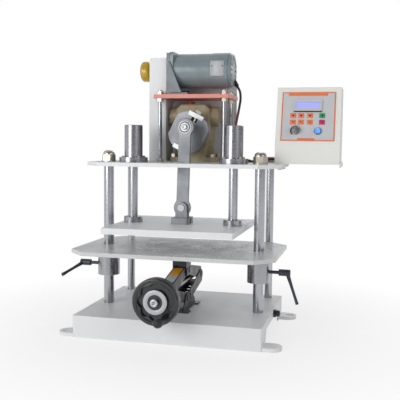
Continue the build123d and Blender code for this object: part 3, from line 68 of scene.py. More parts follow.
# Places on the machine, in metres
PRESS_LINE_Y = -0.0227
TOP_PLATE_Z = 0.4013
PLATFORM_TOP_Z = 0.568
MOTOR_AXIS = (0.1, 0.63)
CRANK_AXIS_Z = 0.4754
CRANK_LEAN = math.radians(26.5)
CRANK_ALONG = Vector((math.sin(CRANK_LEAN), 0, math.cos(CRANK_LEAN)))
CRANK_ACROSS = Vector((math.cos(CRANK_LEAN), 0, -math.sin(CRANK_LEAN)))
CRANK_PIN = Vector((0.00562, -0.0272, 0.4867))
TRUNNION_Z = 0.10999
WHEEL_FRONT_Y = -0.240
WHEEL_WEB_Y = -0.232

# The control panel: its places are (across, up) from the bend of the box
PANEL_ORIGIN = Vector((0.289, 0.03, 0.4468))
PANEL_LEAN = math.atan2(37.0, 138.0)
PANEL_UP = Vector((0, math.sin(PANEL_LEAN), math.cos(PANEL_LEAN)))
PANEL_OUT = Vector((0, -math.cos(PANEL_LEAN), math.sin(PANEL_LEAN)))
PANEL_SKIN = 0.0015
KNOB = (-0.0286, 0.0346)
BUTTON = (0.0242, 0.0337)

# Light round the studio that shiny surfaces mirror, as (turn, grey)
STUDIO_BAND = ((0.0, 0.16), (0.12, 0.26), (0.2, 0.95), (0.29, 0.8), (0.38, 0.45), (0.46, 0.95),
               (0.6, 0.9), (0.7, 0.30), (0.84, 0.10), (1.0, 0.16))


# ---------------------------------------------------------------- shader maths
class Link:
    """A shader socket that takes part in Python arithmetic."""

    def __init__(self, finish, socket):
        self.finish = finish
        self.socket = socket

    def _math(self, operation, first, second):
        return self.finish.math(operation, first, second)

    def __add__(self, other):
        return self._math("ADD", self, other)

    __radd__ = __add__

    def __sub__(self, other):
        return self._math("SUBTRACT", self, other)

    def __rsub__(self, other):
        return self._math("SUBTRACT", other, self)

    def __mul__(self, other):
        return self._math("MULTIPLY", self, other)

    __rmul__ = __mul__

    def __gt__(self, other):
        return self._math("GREATER_THAN", self, other)

    def __lt__(self, other):
        return self._math("LESS_THAN", self, other)


class NodeSet:
    """A node tree whose nodes are all made by node()."""

    def __init__(self, tree):
        self.tree = tree

    def node(self, kind, settings=None, inputs=None, output=0):
        """Adds a node, sets its settings first and then its sockets, and returns one output."""
        made = self.tree.nodes.new(kind)
        for key, value in (settings or {}).items():
            if key == "stops":
                ramp = made.color_ramp
                while len(ramp.elements) < len(value):
                    ramp.elements.new(0.5)
                for element, (position, color) in zip(ramp.elements, value):
                    element.position = position
                    element.color = color
            else:
                setattr(made, key, value)
        for key, value in (inputs or {}).items():
            if isinstance(value, Link):
                self.tree.links.new(value.socket, made.inputs[key])
            else:
                made.inputs[key].default_value = value
        return Link(self, made.outputs[output])

    def math(self, operation, first, second=0.0):
        """A Math node, for the signs above and for operations without one."""
        return self.node("ShaderNodeMath", {"operation": operation}, {0: first, 1: second})

    def ray(self, kind):
        """1 for rays of one kind, such as Camera or Glossy."""
        return self.node("ShaderNodeLightPath", output=f"Is {kind} Ray")

    def mix(self, factor, first, second):
        """Blend of two colours by a factor."""
        first, second = (c if isinstance(c, Link) else (*c[:3], 1.0) for c in (first, second))
        return self.node("ShaderNodeMix", {"data_type": "RGBA", "clamp_factor": True},
                         {0: factor, 6: first, 7: second}, 2)

    def span(self, value, low, high, start=0.0, stop=1.0):
        """Value mapped from one range onto another and clamped."""
        return self.node("ShaderNodeMapRange", {"clamp": True},
                         {0: value, 1: low, 2: high, 3: start, 4: stop})

    def part(self, vector, axis):
        """One coordinate of a vector."""
        return self.node("ShaderNodeSeparateXYZ", inputs={0: vector}, output=axis)

    def azimuth(self, vector):
        """Direction round the machine: 0 and 1 in front, a quarter left, half behind."""
        turn = self.math("ARCTAN2", self.part(vector, "X"), self.part(vector, "Y"))
        return self.span(turn, -math.pi, math.pi)


class Finish(NodeSet):
    """One material: its nodes are made by node(), its constant sockets by set()."""

    def __init__(self, name, color, roughness, metallic=0.0, **constants):
        self.material = bpy.data.materials.new(name)
        self.material.use_nodes = True
        super().__init__(self.material.node_tree)
        self.shader = self.tree.nodes["Principled BSDF"]
        self.color = (*color[:3], 1.0)
        self.set("Base Color", self.color)
        self.set("Roughness", roughness)
        self.set("Metallic", metallic)
        for socket, value in constants.items():
            self.set(socket.replace("_", " "), value)
        self.material.diffuse_color = self.color
        self._place = None

    def set(self, socket, value):
        """Sets one of the shader's own sockets to a value or links it."""
        target = self.shader.inputs[socket]
        if isinstance(value, Link):
            self.tree.links.new(value.socket, target)
        else:
            target.default_value = value

    def place(self):
        """Object coordinates, which are the machine's own metres."""
        if self._place is None:
            self._place = self.node("ShaderNodeTexCoord", output="Object")
        return self._place

    def stretched(self, scale):
        """Object coordinates scaled along each axis, so grain can run one way."""
        return self.node("ShaderNodeVectorMath", {"operation": "MULTIPLY"},
                         {0: self.place(), 1: scale})

    def noise(self, scale, detail=3.0, vector=None):
        """Noise from 0 to 1 over the surface."""
        return self.node("ShaderNodeTexNoise", None,
                         {"Vector": vector or self.place(), "Scale": scale, "Detail": detail,
                          "Roughness": 0.5}, "Fac")

    def bump(self, height, distance):
        """Fine relief: feeds the shader's normal."""
        self.set("Normal", self.node("ShaderNodeBump", None,
                                     {"Height": height, "Distance": distance, "Strength": 1.0},
                                     "Normal"))

    def gloss(self, field, low, high):
        """Roughness that goes from low to high over the field."""
        self.set("Roughness", self.span(field, 0.3, 0.7, low, high))

    def fade_to(self, other, field, low, high, amount=None):
        """Base colour that turns to another over the field; returns how far it has turned."""
        turned = self.span(field, low, high)
        factor = turned if amount is None else turned * amount
        self.set("Base Color", self.mix(factor, self.color, other))
        return turned

    def tint(self, amount, scale, shade):
        """Faint patches in a darker or lighter shade of the base colour."""
        return self.fade_to(shaded(self.color, shade), self.noise(scale, 4.0), 0.35, 0.75, amount)

    def glow(self, color):
        """The same colour painted and lit from within."""
        self.set("Base Color", color)
        self.set("Emission Color", color)


def shaded(color, factor):
    """A colour times a factor."""
    return tuple(c * factor for c in color[:3])


def powder_coat(name, color, grain=900.0, roughness=0.42):
    """Sprayed powder paint: fine orange peel and slightly uneven gloss."""
    finish = Finish(name, color, roughness)
    finish.tint(0.35, 9.0, 0.93)
    finish.gloss(finish.noise(22.0, 4.0), roughness - 0.07, roughness + 0.1)
    finish.bump(finish.noise(grain, 2.0), 0.00006)
    return finish.material


def ground_steel(name, color, along, roughness, scratch=0.12):
    """Ground or turned steel: grain runs round or across one axis."""
    finish = Finish(name, color, roughness, 1.0)
    grain = finish.noise(60.0, 5.0, finish.stretched(along))
    fine = finish.noise(420.0, 3.0, finish.stretched(along))
    smear = finish.noise(11.0)
    finish.gloss(grain * 0.6 + smear * 0.4, roughness - scratch, roughness + scratch)
    finish.fade_to(shaded(color, 0.8), smear * 0.5 + grain * 0.5, 0.35, 0.7)
    finish.bump(fine, 0.00003)
    return finish.material


def milled_steel(name, color, roughness):
    """Milled plate with faint cross grain and cloudy patches."""
    finish = Finish(name, color, roughness, 1.0)
    lay = finish.noise(90.0, 5.0, finish.stretched((1.0, 1.0, 12.0)))
    cloud = finish.noise(28.0, 4.0)
    finish.fade_to(shaded(color, 0.82), cloud, 0.35, 0.7)
    finish.gloss(lay * 0.5 + cloud * 0.5, roughness - 0.1, roughness + 0.14)
    finish.bump(lay, 0.00005)
    return finish.material


def plated_nut(name, color):
    """Zinc plate on nuts and bolts: soft drift to a warmer colour and a duller gloss."""
    finish = Finish(name, color, 0.33, 1.0)
    drift = finish.noise(120.0)
    warm = (color[0] * 1.02, color[1] * 0.93, color[2] * 0.78)
    finish.fade_to(warm, drift, 0.4, 0.7)
    finish.gloss(drift, 0.24, 0.46)
    finish.bump(finish.noise(700.0, 2.0), 0.00003)
    return finish.material


def painted_casting(name, color, roughness=0.5):
    """Paint over sand casting: coarse soft bumps and dust in the low spots."""
    finish = Finish(name, color, roughness)
    sand = finish.noise(380.0, 4.0)
    lumps = finish.noise(70.0)
    finish.fade_to(shaded(color, 0.72), lumps * 0.6 + sand * 0.4, 0.42, 0.68)
    finish.gloss(lumps, roughness - 0.1, roughness + 0.12)
    finish.bump(sand * 0.7 + lumps * 0.3, 0.0003)
    return finish.material


def enamel(name, color, roughness=0.3):
    """Smooth enamel on the motor: slow ripple and faint handling marks."""
    finish = Finish(name, color, roughness, Coat_Roughness=0.12)
    marks = finish.noise(35.0, 5.0)
    finish.fade_to(shaded(color, 0.88), marks, 0.4, 0.75)
    finish.set("Coat Weight", finish.span(marks, 0.3, 0.7, 0.45, 0.15))
    finish.gloss(marks, roughness - 0.06, roughness + 0.12)
    finish.bump(finish.noise(260.0, 2.0), 0.00005)
    return finish.material


def black_coat(name, color, roughness, worn):
    """Black paint or coating with paler rubbed patches."""
    finish = Finish(name, color, roughness)
    wear = finish.noise(48.0, 6.0)
    finish.fade_to(tuple(c + 0.07 for c in color), wear, 0.55, 0.75, worn)
    finish.gloss(wear, roughness - 0.08, roughness + 0.16)
    finish.bump(finish.noise(500.0), 0.00009)
    return finish.material


def moulded(name, color, roughness=0.35, coat=0.0):
    """Moulded plastic: very fine spark texture."""
    finish = Finish(name, color, roughness, Coat_Weight=coat)
    drift = finish.tint(0.4, 30.0, 0.85)
    finish.set("Roughness", finish.span(drift, 0.0, 1.0, roughness - 0.05, roughness + 0.1))
    finish.bump(finish.noise(1100.0, 2.0), 0.00004)
    return finish.material


def rubber(name, color):
    """The belt: dull, with a slight bloom."""
    finish = Finish(name, color, 0.62)
    finish.tint(0.6, 60.0, 1.7)
    finish.bump(finish.noise(900.0), 0.00006)
    return finish.material


def lead_sheath(name):
    """Motor lead: black sleeve above, dark red sheath, black again where it lies on the plate."""
    finish = Finish(name, (0.02, 0.02, 0.022), 0.5)
    height = finish.part(finish.place(), "Z")
    below_sleeve = finish.span(height, 0.5275, 0.5285, 1.0, 0.0)
    above_plate = finish.span(height, 0.4085, 0.4105)
    mottled = finish.mix(finish.noise(90.0), (0.16, 0.016, 0.024), (0.1, 0.012, 0.018))
    finish.set("Base Color", finish.mix(below_sleeve * above_plate, (0.018, 0.018, 0.02), mottled))
    finish.gloss(finish.noise(60.0), 0.42, 0.62)
    finish.bump(finish.noise(800.0, 2.0), 0.00005)
    return finish.material


def printed_film(name, color, roughness=0.4):
    """Printed polyester film with a fine texture."""
    finish = Finish(name, color, roughness)
    finish.tint(0.5, 40.0, 0.9)
    finish.gloss(finish.noise(140.0), roughness - 0.06, roughness + 0.1)
    finish.bump(finish.noise(1600.0, 2.0), 0.000025)
    return finish.material


def lit_display(name):
    """Back-lit liquid crystal window: faint character cells in rows."""
    finish = Finish(name, (0.30, 0.34, 0.9), 0.12, Coat_Weight=1.0, Coat_Roughness=0.05,
                    Emission_Strength=0.55)
    cell_width, cell_height = 0.0031, 0.0053
    column = finish.math("FRACT", finish.part(finish.place(), "X") * (1 / cell_width))
    row = finish.math("FRACT", finish.part(finish.place(), "Z") * (1 / cell_height))
    cell = (column > 0.16) * (column < 0.84) * (row > 0.2) * (row < 0.86)
    finish.glow(finish.mix(cell * 0.35, (0.33, 0.36, 0.95), (0.16, 0.19, 0.78)))
    return finish.material


def lit_button(name, color):
    """Lit push button with brighter patches."""
    finish = Finish(name, color, 0.18, Coat_Weight=0.8, Emission_Strength=0.35)
    bright = tuple(min(1.0, c * 1.5 + 0.08) for c in color)
    finish.glow(finish.mix(finish.span(finish.noise(160.0, 2.0), 0.3, 0.7), color, bright))
    return finish.material


def bare_label(name):
    """Bare two-part label on the jack arm: orange field, grey foot, no print."""
    finish = Finish(name, (0.9, 0.42, 0.03), 0.35)
    foot = finish.span(finish.part(finish.place(), "Y"), -0.0955, -0.0945, 1.0, 0.0)
    orange = finish.mix(finish.noise(50.0), (0.93, 0.44, 0.03), (0.84, 0.36, 0.02))
    grey = finish.mix(finish.noise(50.0), (0.52, 0.53, 0.52), (0.44, 0.45, 0.45))
    finish.set("Base Color", finish.mix(foot, orange, grey))
    finish.bump(finish.noise(700.0, 2.0), 0.00003)
    return finish.material


def white_floor(name):
    """Pale floor: a real diffuse surface near the machine that fades to plain white."""
    finish = Finish(name, (0.93, 0.93, 0.93), 0.9, Specular_IOR_Level=0.0)
    offset = finish.node("ShaderNodeVectorMath", {"operation": "DISTANCE"},
                         {0: finish.place(), 1: (0.03, 0.0, 0.0)}, "Value")
    fade = finish.span(offset, 0.3, 0.75, 0.72, 1.0)
    shown = finish.math("MAXIMUM", finish.ray("Glossy"), finish.ray("Transmission"))
    shown = finish.math("MAXIMUM", finish.ray("Camera"), shown)
    white = finish.node("ShaderNodeEmission", None, {"Strength": 1.0})
    paint = Link(finish, finish.shader.outputs[0])
    blend = finish.node("ShaderNodeMixShader", None, {0: fade * shown, 1: paint, 2: white})
    output = finish.tree.nodes["Material Output"]
    finish.tree.links.new(blend.socket, output.inputs["Surface"])
    return finish.material


# ---------------------------------------------------------------- mesh helpers
MATERIALS = {}


def finished_piece(mesh, finish, body, slot, smooth=True, *replaced):
    """Links a mesh as one piece of the machine and ties it to its body; the slot is not used."""
    piece = bpy.data.objects.new(mesh.name, mesh)
    bpy.context.scene.collection.objects.link(piece)
    piece.data.materials.append(MATERIALS[finish])
    for polygon in mesh.polygons:
        polygon.use_smooth = smooth
    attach(piece, body)
    if replaced:
        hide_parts(*replaced)
    return piece


def mesh_from(name, vertices, faces):
    """A mesh as the faces are given."""
    mesh = bpy.data.meshes.new(name)
    mesh.from_pydata([tuple(v) for v in vertices], [], faces)
    mesh.validate()
    mesh.update()
    return mesh


def turn_outward(bm, mesh):
    """Turns the faces of a closed form outward and puts them in the mesh."""
    bmesh.ops.recalc_face_normals(bm, faces=bm.faces)
    bm.to_mesh(mesh)
    bm.free()
    return mesh


def solid_from(name, vertices, faces):
    """A closed mesh whose faces all look outward."""
    mesh = mesh_from(name, vertices, faces)
    bm = bmesh.new()
    bm.from_mesh(mesh)
    return turn_outward(bm, mesh)


def soften(piece, width, angle=0.5):
    """Rounded edges as a modifier."""
    bevel = piece.modifiers.new("edges", "BEVEL")
    bevel.width = width
    bevel.segments = 2
    bevel.limit_method = "ANGLE"
    bevel.angle_limit = angle


def looped(count):
    """Each place in a closed loop with the one after it."""
    return [(i, (i + 1) % count) for i in range(count)]


def spokes(axis, count):
    """Unit vectors evenly round an axis."""
    side = axis.orthogonal().normalized()
    other = axis.cross(side)
    turns = (2 * math.pi * i / count for i in range(count))
    return [side * math.cos(turn) + other * math.sin(turn) for turn in turns]


def prism(name, outline, plane, depth):
    """Closed solid from an outline in a plane (origin, right, up), thickened along its normal."""
    origin, right, up = plane
    normal = right.cross(up)
    base = [origin + right * x + up * y for x, y in outline]
    count = len(base)
    faces = [tuple(reversed(range(count))), tuple(range(count, 2 * count))]
    faces += [(i, j, count + j, count + i) for i, j in looped(count)]
    return solid_from(name, base + [v + normal * depth for v in base], faces)


def facing_front(y):
    """Upright plane at a depth, which prism() thickens towards the front."""
    return (Vector((0, y, 0)), RIGHT, UP)


def rectangle(left, low, right, high):
    return [(left, low), (right, low), (right, high), (left, high)]


def rounded(width, height, radius, center, steps):
    """Outline of a rounded rectangle."""
    points = []
    for sx, sy, start in ((1, 1, 0), (-1, 1, 90), (-1, -1, 180), (1, -1, 270)):
        corner = (center[0] + sx * (width / 2 - radius), center[1] + sy * (height / 2 - radius))
        for i in range(steps + 1):
            turn = math.radians(start + 90 * i / steps)
            points.append((corner[0] + radius * math.cos(turn),
                           corner[1] + radius * math.sin(turn)))
    return points


def ring_of(radius, count, center=(0.0, 0.0), start=0.0):
    """Points evenly round a circle."""
    return [(center[0] + radius * math.cos(start + 2 * math.pi * i / count),
             center[1] + radius * math.sin(start + 2 * math.pi * i / count)) for i in range(count)]


def lathe(name, profile, origin, axis, count):
    """Solid of revolution: profile is (distance along axis, radius) pairs."""
    axis = axis.normalized()
    vertices = [origin + axis * along + out * radius
                for along, radius in profile for out in spokes(axis, count)]
    last = (len(profile) - 1) * count
    faces = [(ring + i, ring + j, ring + count + j, ring + count + i)
             for ring in range(0, last, count) for i, j in looped(count)]
    faces += [tuple(range(count)), tuple(reversed(range(last, last + count)))]
    return solid_from(name, vertices, faces)


def lathe_ring(name, center, axis, inner, outer, height):
    """Flat ring with eased edges."""
    count = 72
    ease = height * 0.3
    section = [(0.0, inner), (height - ease, inner), (height, inner + ease),
               (height, outer - ease), (height - ease, outer), (0.0, outer)]
    size = len(section)
    axis = axis.normalized()
    vertices = [center + axis * along + out * radius
                for out in spokes(axis, count) for along, radius in section]
    faces = [(i * size + k, j * size + k, j * size + m, i * size + m)
             for i, j in looped(count) for k, m in looped(size)]
    return solid_from(name, vertices, faces)


def thread(name, start, axis, length, radius, pitch, depth, count):
    """Screw thread: an open ribbed sleeve whose ridge climbs along the axis."""
    axis = axis.normalized()
    rows = int(length / pitch) * 2
    vertices, faces = [], []
    for row in range(rows + 1):
        reach = radius if row % 2 else radius - depth
        for i, out in enumerate(spokes(axis, count)):
            along = min((row + i / count * 2) * pitch / 2, length)
            vertices.append(start + axis * along + out * reach)
    for row in range(rows):
        for i, j in looped(count):
            climb = 0 if j else 2
            if row + 1 + climb <= rows:
                low, high = (row + climb) * count + j, (row + 1 + climb) * count + j
                faces.append((row * count + i, low, high, (row + 1) * count + i))
    return mesh_from(name, vertices, faces)


def panel_point(across, up, out=0.0):
    """Point on the control panel's outer face; up is measured from the bend of the box."""
    return PANEL_ORIGIN + RIGHT * across + PANEL_UP * up + PANEL_OUT * (PANEL_SKIN + out)


def panel_plane(out=0.0):
    """The panel's outer face, or a plane that far in front of it."""
    return (panel_point(0, 0, out), RIGHT, PANEL_UP)


def rim_of_table(low, high):
    """Eight corners of the table, anticlockwise seen from above."""
    cut = 0.0426
    return [(high.x - cut, high.y), (low.x + cut, high.y), (low.x, high.y - cut),
            (low.x, low.y + cut), (low.x + cut, low.y), (high.x - cut, low.y),
            (high.x, low.y + cut), (high.x, high.y - cut)]


def add_table_rim(bm, rim, holes, grid, counts, top, under):
    """Plain border of the table round the hole field, with the column holes in it."""
    count_x, count_y = counts
    field = ([(ix, 0) for ix in range(count_x)] + [(count_x, iy) for iy in range(count_y)]
             + [(ix, count_y) for ix in range(count_x, 0, -1)]
             + [(0, iy) for iy in range(count_y, 0, -1)])
    outlines = []
    for z in (top, under):
        loops = [[grid[(ix, iy, z)] for ix, iy in field]]
        loops += [[bm.verts.new((x, y, z)) for x, y in outline] for outline in (rim, *holes)]
        edges = [bm.edges.get((a, b)) or bm.edges.new((a, b))
                 for verts in loops for a, b in zip(verts, verts[1:] + verts[:1])]
        bmesh.ops.triangle_fill(bm, use_beauty=True, use_dissolve=False, edges=edges)
        outlines.append(loops[1:])
    for upper, lower in zip(*outlines):
        for i, j in looped(len(upper)):
            bm.faces.new((upper[i], upper[j], lower[j], lower[i]))


# ---------------------------------------------------------------- user settings
class TesterStageSettings(bpy.types.PropertyGroup):
    """Light and background of the studio."""
    key_power: FloatProperty(
        name="Key light", description="Power of the large front light",
        default=29.0, min=0.0, unit="POWER")
    fill_power: FloatProperty(
        name="Fill light", description="Power of the side light",
        default=9.0, min=0.0, unit="POWER")
    ambient: FloatProperty(
        name="Ambient", description="Strength of the even studio light", default=0.72, min=0.0)
    overhead: FloatProperty(
        name="Overhead share", description="Overhead part of the even light",
        default=0.42, min=0.0, max=1.0)


class TesterFinishSettings(bpy.types.PropertyGroup):
    """Colours of the machine."""
    white: FloatVectorProperty(
        name="White paint", description="Powder coat of the frame",
        default=(0.78, 0.79, 0.80), subtype="COLOR", min=0.0, max=1.0)
    cream: FloatVectorProperty(
        name="Box paint", description="Powder coat of the control box",
        default=(0.80, 0.80, 0.77), subtype="COLOR", min=0.0, max=1.0)
    steel: FloatVectorProperty(
        name="Column steel", description="Ground steel of the columns",
        default=(0.46, 0.47, 0.50), subtype="COLOR", min=0.0, max=1.0)
    casting: FloatVectorProperty(
        name="Gearbox paint", description="Paint of the gearbox",
        default=(0.37, 0.31, 0.19), subtype="COLOR", min=0.0, max=1.0)
    motor: FloatVectorProperty(
        name="Motor enamel", description="Grey enamel of the motor",
        default=(0.21, 0.26, 0.28), subtype="COLOR", min=0.0, max=1.0)
    platform: FloatVectorProperty(
        name="Platform paint", description="Red paint of the motor platform",
        default=(0.74, 0.27, 0.22), subtype="COLOR", min=0.0, max=1.0)
    orange: FloatVectorProperty(
        name="Panel orange", description="Printed border and keys",
        default=(0.80, 0.19, 0.07), subtype="COLOR", min=0.0, max=1.0)


class TesterDetailSettings(bpy.types.PropertyGroup):
    """Sizes of the fine detail."""
    hole_pitch: FloatProperty(
        name="Hole pitch", description="Distance between holes of the table",
        default=0.0075, min=0.003, unit="LENGTH")
    hole_radius: FloatProperty(
        name="Hole radius", description="Radius of one hole of the table",
        default=0.0013, min=0.0005, unit="LENGTH")
    border_width: FloatProperty(
        name="Border width", description="Width of the printed panel border",
        default=0.0027, min=0.0005, unit="LENGTH")
    lobe_count: IntProperty(
        name="Wheel lobes", description="Grip lobes inside the handwheel rim", default=8, min=3)


def settings():
    """The three groups of settings: stage, finish and detail."""
    scene = bpy.context.scene
    return scene.tester_stage, scene.tester_finish, scene.tester_detail


# ---------------------------------------------------------------- operators
class TESTER_OT_camera(bpy.types.Operator):
    """Camera at the photograph's viewing angle"""
    bl_idname = "tester.camera"
    bl_label = "Place camera"

    def execute(self, context):
        level = math.cos(CAMERA_PITCH)
        look = Vector((-math.sin(CAMERA_YAW) * level, math.cos(CAMERA_YAW) * level,
                       -math.sin(CAMERA_PITCH)))
        right = Vector((math.cos(CAMERA_YAW), math.sin(CAMERA_YAW), 0))
        up = right.cross(look)
        turned_right = right * math.cos(CAMERA_ROLL) + up * math.sin(CAMERA_ROLL)
        turned_up = -right * math.sin(CAMERA_ROLL) + up * math.cos(CAMERA_ROLL)
        data = bpy.data.cameras.new("studio_camera")
        data.lens = CAMERA_LENS
        data.sensor_width = 36.0
        data.clip_start = 0.05
        data.clip_end = 50.0
        camera = bpy.data.objects.new("studio_camera", data)
        context.scene.collection.objects.link(camera)
        turn = Matrix((turned_right, turned_up, -look)).transposed().to_4x4()
        camera.matrix_world = Matrix.Translation(CAMERA_PLACE) @ turn
        context.scene.camera = camera
        return {"FINISHED"}


class TESTER_OT_stage(bpy.types.Operator):
    """Pale floor, soft lights and a white studio world"""
    bl_idname = "tester.stage"
    bl_label = "Build stage"

    def execute(self, context):
        stage = settings()[0]
        reach = 9
        corners = [(x, y, 0) for x, y in rectangle(-reach, -reach, reach, reach)]
        floor = bpy.data.objects.new("studio_floor",
                                     mesh_from("studio_floor", corners, [(0, 1, 2, 3)]))
        floor.location.z = -0.0003
        context.scene.collection.objects.link(floor)
        floor.data.materials.append(white_floor("floor_white"))

        lights = (("key", (-1.3, -2.3, 0.9), 1.4, stage.key_power),
                  ("fill", (1.9, -1.3, 1.2), 1.2, stage.fill_power),
                  ("rear", (0.4, 2.0, 1.7), 1.3, stage.fill_power * 0.8))
        for name, place, size, power in lights:
            data = bpy.data.lights.new(name, "AREA")
            data.shape = "SQUARE"
            data.size = size
            data.energy = power
            lamp = bpy.data.objects.new(name, data)
            lamp.location = place
            aim = Vector((0, 0, 0.3)) - Vector(place)
            lamp.rotation_euler = aim.to_track_quat("-Z", "Y").to_euler()
            context.scene.collection.objects.link(lamp)

        world = bpy.data.worlds.new("studio")
        context.scene.world = world
        world.use_nodes = True
        sky = NodeSet(world.node_tree)
        direction = sky.node("ShaderNodeTexCoord", output="Generated")
        level = stage.ambient
        soft = sky.mix(sky.span(sky.part(direction, "Z"), 0.05, 0.75),
                       (level,) * 3, (level * stage.overhead,) * 3)
        band = sky.node("ShaderNodeValToRGB",
                        {"stops": [(at, (grey, grey, grey * 1.02, 1)) for at, grey in STUDIO_BAND]},
                        {0: sky.azimuth(direction)})
        seen = sky.math("MAXIMUM", sky.ray("Camera"), sky.ray("Transmission"))
        final = sky.mix(seen, sky.mix(sky.ray("Glossy"), soft, band), (1.0, 1.0, 1.0))
        background = world.node_tree.nodes["Background"]
        world.node_tree.links.new(final.socket, background.inputs["Color"])
        context.scene.view_settings.view_transform = "Standard"
        return {"FINISHED"}


class TESTER_OT_finishes(bpy.types.Operator):
    """Gives every CAD solid its finish, and makes the finishes of the added pieces"""
    bl_idname = "tester.finishes"
    bl_label = "Make finishes"

    def execute(self, context):
        look = settings()[1]
        MATERIALS.update({
            "white": powder_coat("powder_white", look.white),
            "box": powder_coat("powder_cream", look.cream, 1300.0, 0.5),
            # The back panel is white sheet; this darker grey copy of the white paint is painted
            # shade.
            "white_panel_painted_shade": powder_coat("powder_white_painted_shade", (0.66, 0.67, 0.68)),
            "bright": ground_steel("bright_zinc", (0.58, 0.59, 0.60), (1.0, 12.0, 1.0), 0.42, 0.06),
            "column": ground_steel("ground_columns", look.steel, (1.0, 1.0, 30.0), 0.2, 0.05),
            "bearing": ground_steel("turned_bearings", (0.40, 0.40, 0.43), (1.0, 1.0, 60.0),
                                    0.26, 0.05),
            "shaft": ground_steel("turned_shafts", (0.5, 0.5, 0.52), (30.0, 1.0, 1.0), 0.3),
            "screw": ground_steel("jack_screw_steel", (0.4, 0.4, 0.41), (1.0, 30.0, 1.0), 0.35),
            "disc": milled_steel("milled_disc", (0.30, 0.31, 0.33), 0.5),
            "nut": plated_nut("plated_nuts", (0.56, 0.54, 0.49)),
            "table": powder_coat("table_sheet", (0.62, 0.63, 0.63), 500.0, 0.32),
            "casting": painted_casting("gearbox_paint", look.casting),
            "motor": enamel("motor_enamel", look.motor),
            "bracket": enamel("bracket_enamel", (0.16, 0.19, 0.21), 0.4),
            "platform": powder_coat("platform_red", look.platform, 700.0, 0.4),
            "breather": moulded("breather_red", (0.55, 0.03, 0.03)),
            "yellow": moulded("handwheel_yellow", (0.52, 0.33, 0.008), 0.22, 0.6),
            "jack": black_coat("jack_black", (0.03, 0.03, 0.034), 0.36, 0.8),
            "lever": black_coat("lever_black", (0.03, 0.035, 0.05), 0.32, 0.3),
            "wheel": moulded("wheel_black", (0.015, 0.016, 0.019), 0.28, 0.35),
            "black": moulded("moulded_black", (0.016, 0.016, 0.018), 0.4),
            "film": printed_film("panel_film", (0.56, 0.57, 0.59)),
            "bezel": moulded("bezel_silver", (0.56, 0.57, 0.58), 0.3),
            "display": lit_display("display_lit"),
            "orange": printed_film("print_orange", look.orange),
            "green": printed_film("key_green", (0.02, 0.32, 0.10)),
            "crimson": printed_film("key_crimson", (0.55, 0.02, 0.12)),
            "knob": ground_steel("knob_silver", (0.50, 0.50, 0.52), (1.0, 30.0, 1.0), 0.3, 0.05),
            "button": lit_button("button_blue", (0.08, 0.25, 0.70)),
            "lead": lead_sheath("lead_sheath"),
            "belt": rubber("belt_rubber", (0.02, 0.02, 0.02)),
            "label": bare_label("jack_label"),
            "plate": printed_film("bare_nameplate", (0.50, 0.53, 0.54), 0.42),
            "grey_ring": moulded("wheel_ring_grey", (0.50, 0.52, 0.54), 0.3, 0.2),
        })
        given = {
            "white": ("base_box", "mounting_ears", "top_plate", "belt_cover", "compression_plate"),
            "box": ("control_box", "control_bracket"),
            # The back panel gets the grey copy of the white paint, which is painted shade.
            "white_panel_painted_shade": ("back_panel",),
            "column": ("front_columns", "rear_columns", "guide_rods", "platform_posts"),
            "bearing": ("guide_bearings", "rod_flanges", "table_collars"),
            "shaft": ("worm_shaft", "motor_shaft", "clevis_pin", "throw_block"),
            "screw": ("jack_screw",),
            "disc": ("crank_disc", "clevis", "connecting_rod"),
            "bright": ("slot_end_plates", "crank_pin"),
            "nut": ("column_nuts", "fixing_bolts", "platform_nuts", "adjusting_screw"),
            "table": ("perforated_table",),
            "casting": ("gearbox_housing", "gearbox_covers"),
            "motor": ("motor_body", "motor_end_cap"),
            "bracket": ("motor_bracket",),
            "platform": ("motor_platform",),
            "breather": ("breather_plug",),
            "yellow": ("motor_handwheel",),
            "jack": ("jack_base", "jack_saddle", "front_lower_arm", "rear_lower_arm",
                     "front_upper_arm", "rear_upper_arm", "front_trunnion", "rear_trunnion"),
            "lever": ("left_clamp_lever", "right_clamp_lever"),
            "wheel": ("jack_handwheel",),
            "black": ("power_gland", "lead_fittings", "wheel_handle"),
            "film": ("control_panel",),
            "bezel": ("display_bezel",),
            "display": ("display_window",),
            "orange": ("keypad_keys",),
            "knob": ("speed_knob",),
            "button": ("power_button",),
            "lead": ("motor_lead",),
            "belt": ("drive_belt",),
        }
        for finish, names in given.items():
            for name in names:
                piece = nodes[name]
                if not piece.material_slots:
                    piece.data.materials.append(MATERIALS[finish])
                for material_slot in piece.material_slots:
                    material_slot.material = MATERIALS[finish]
        bare = set(nodes) - {name for names in given.values() for name in names}
        if bare:
            raise RuntimeError(f"nodes without a finish: {bare}")
        return {"FINISHED"}


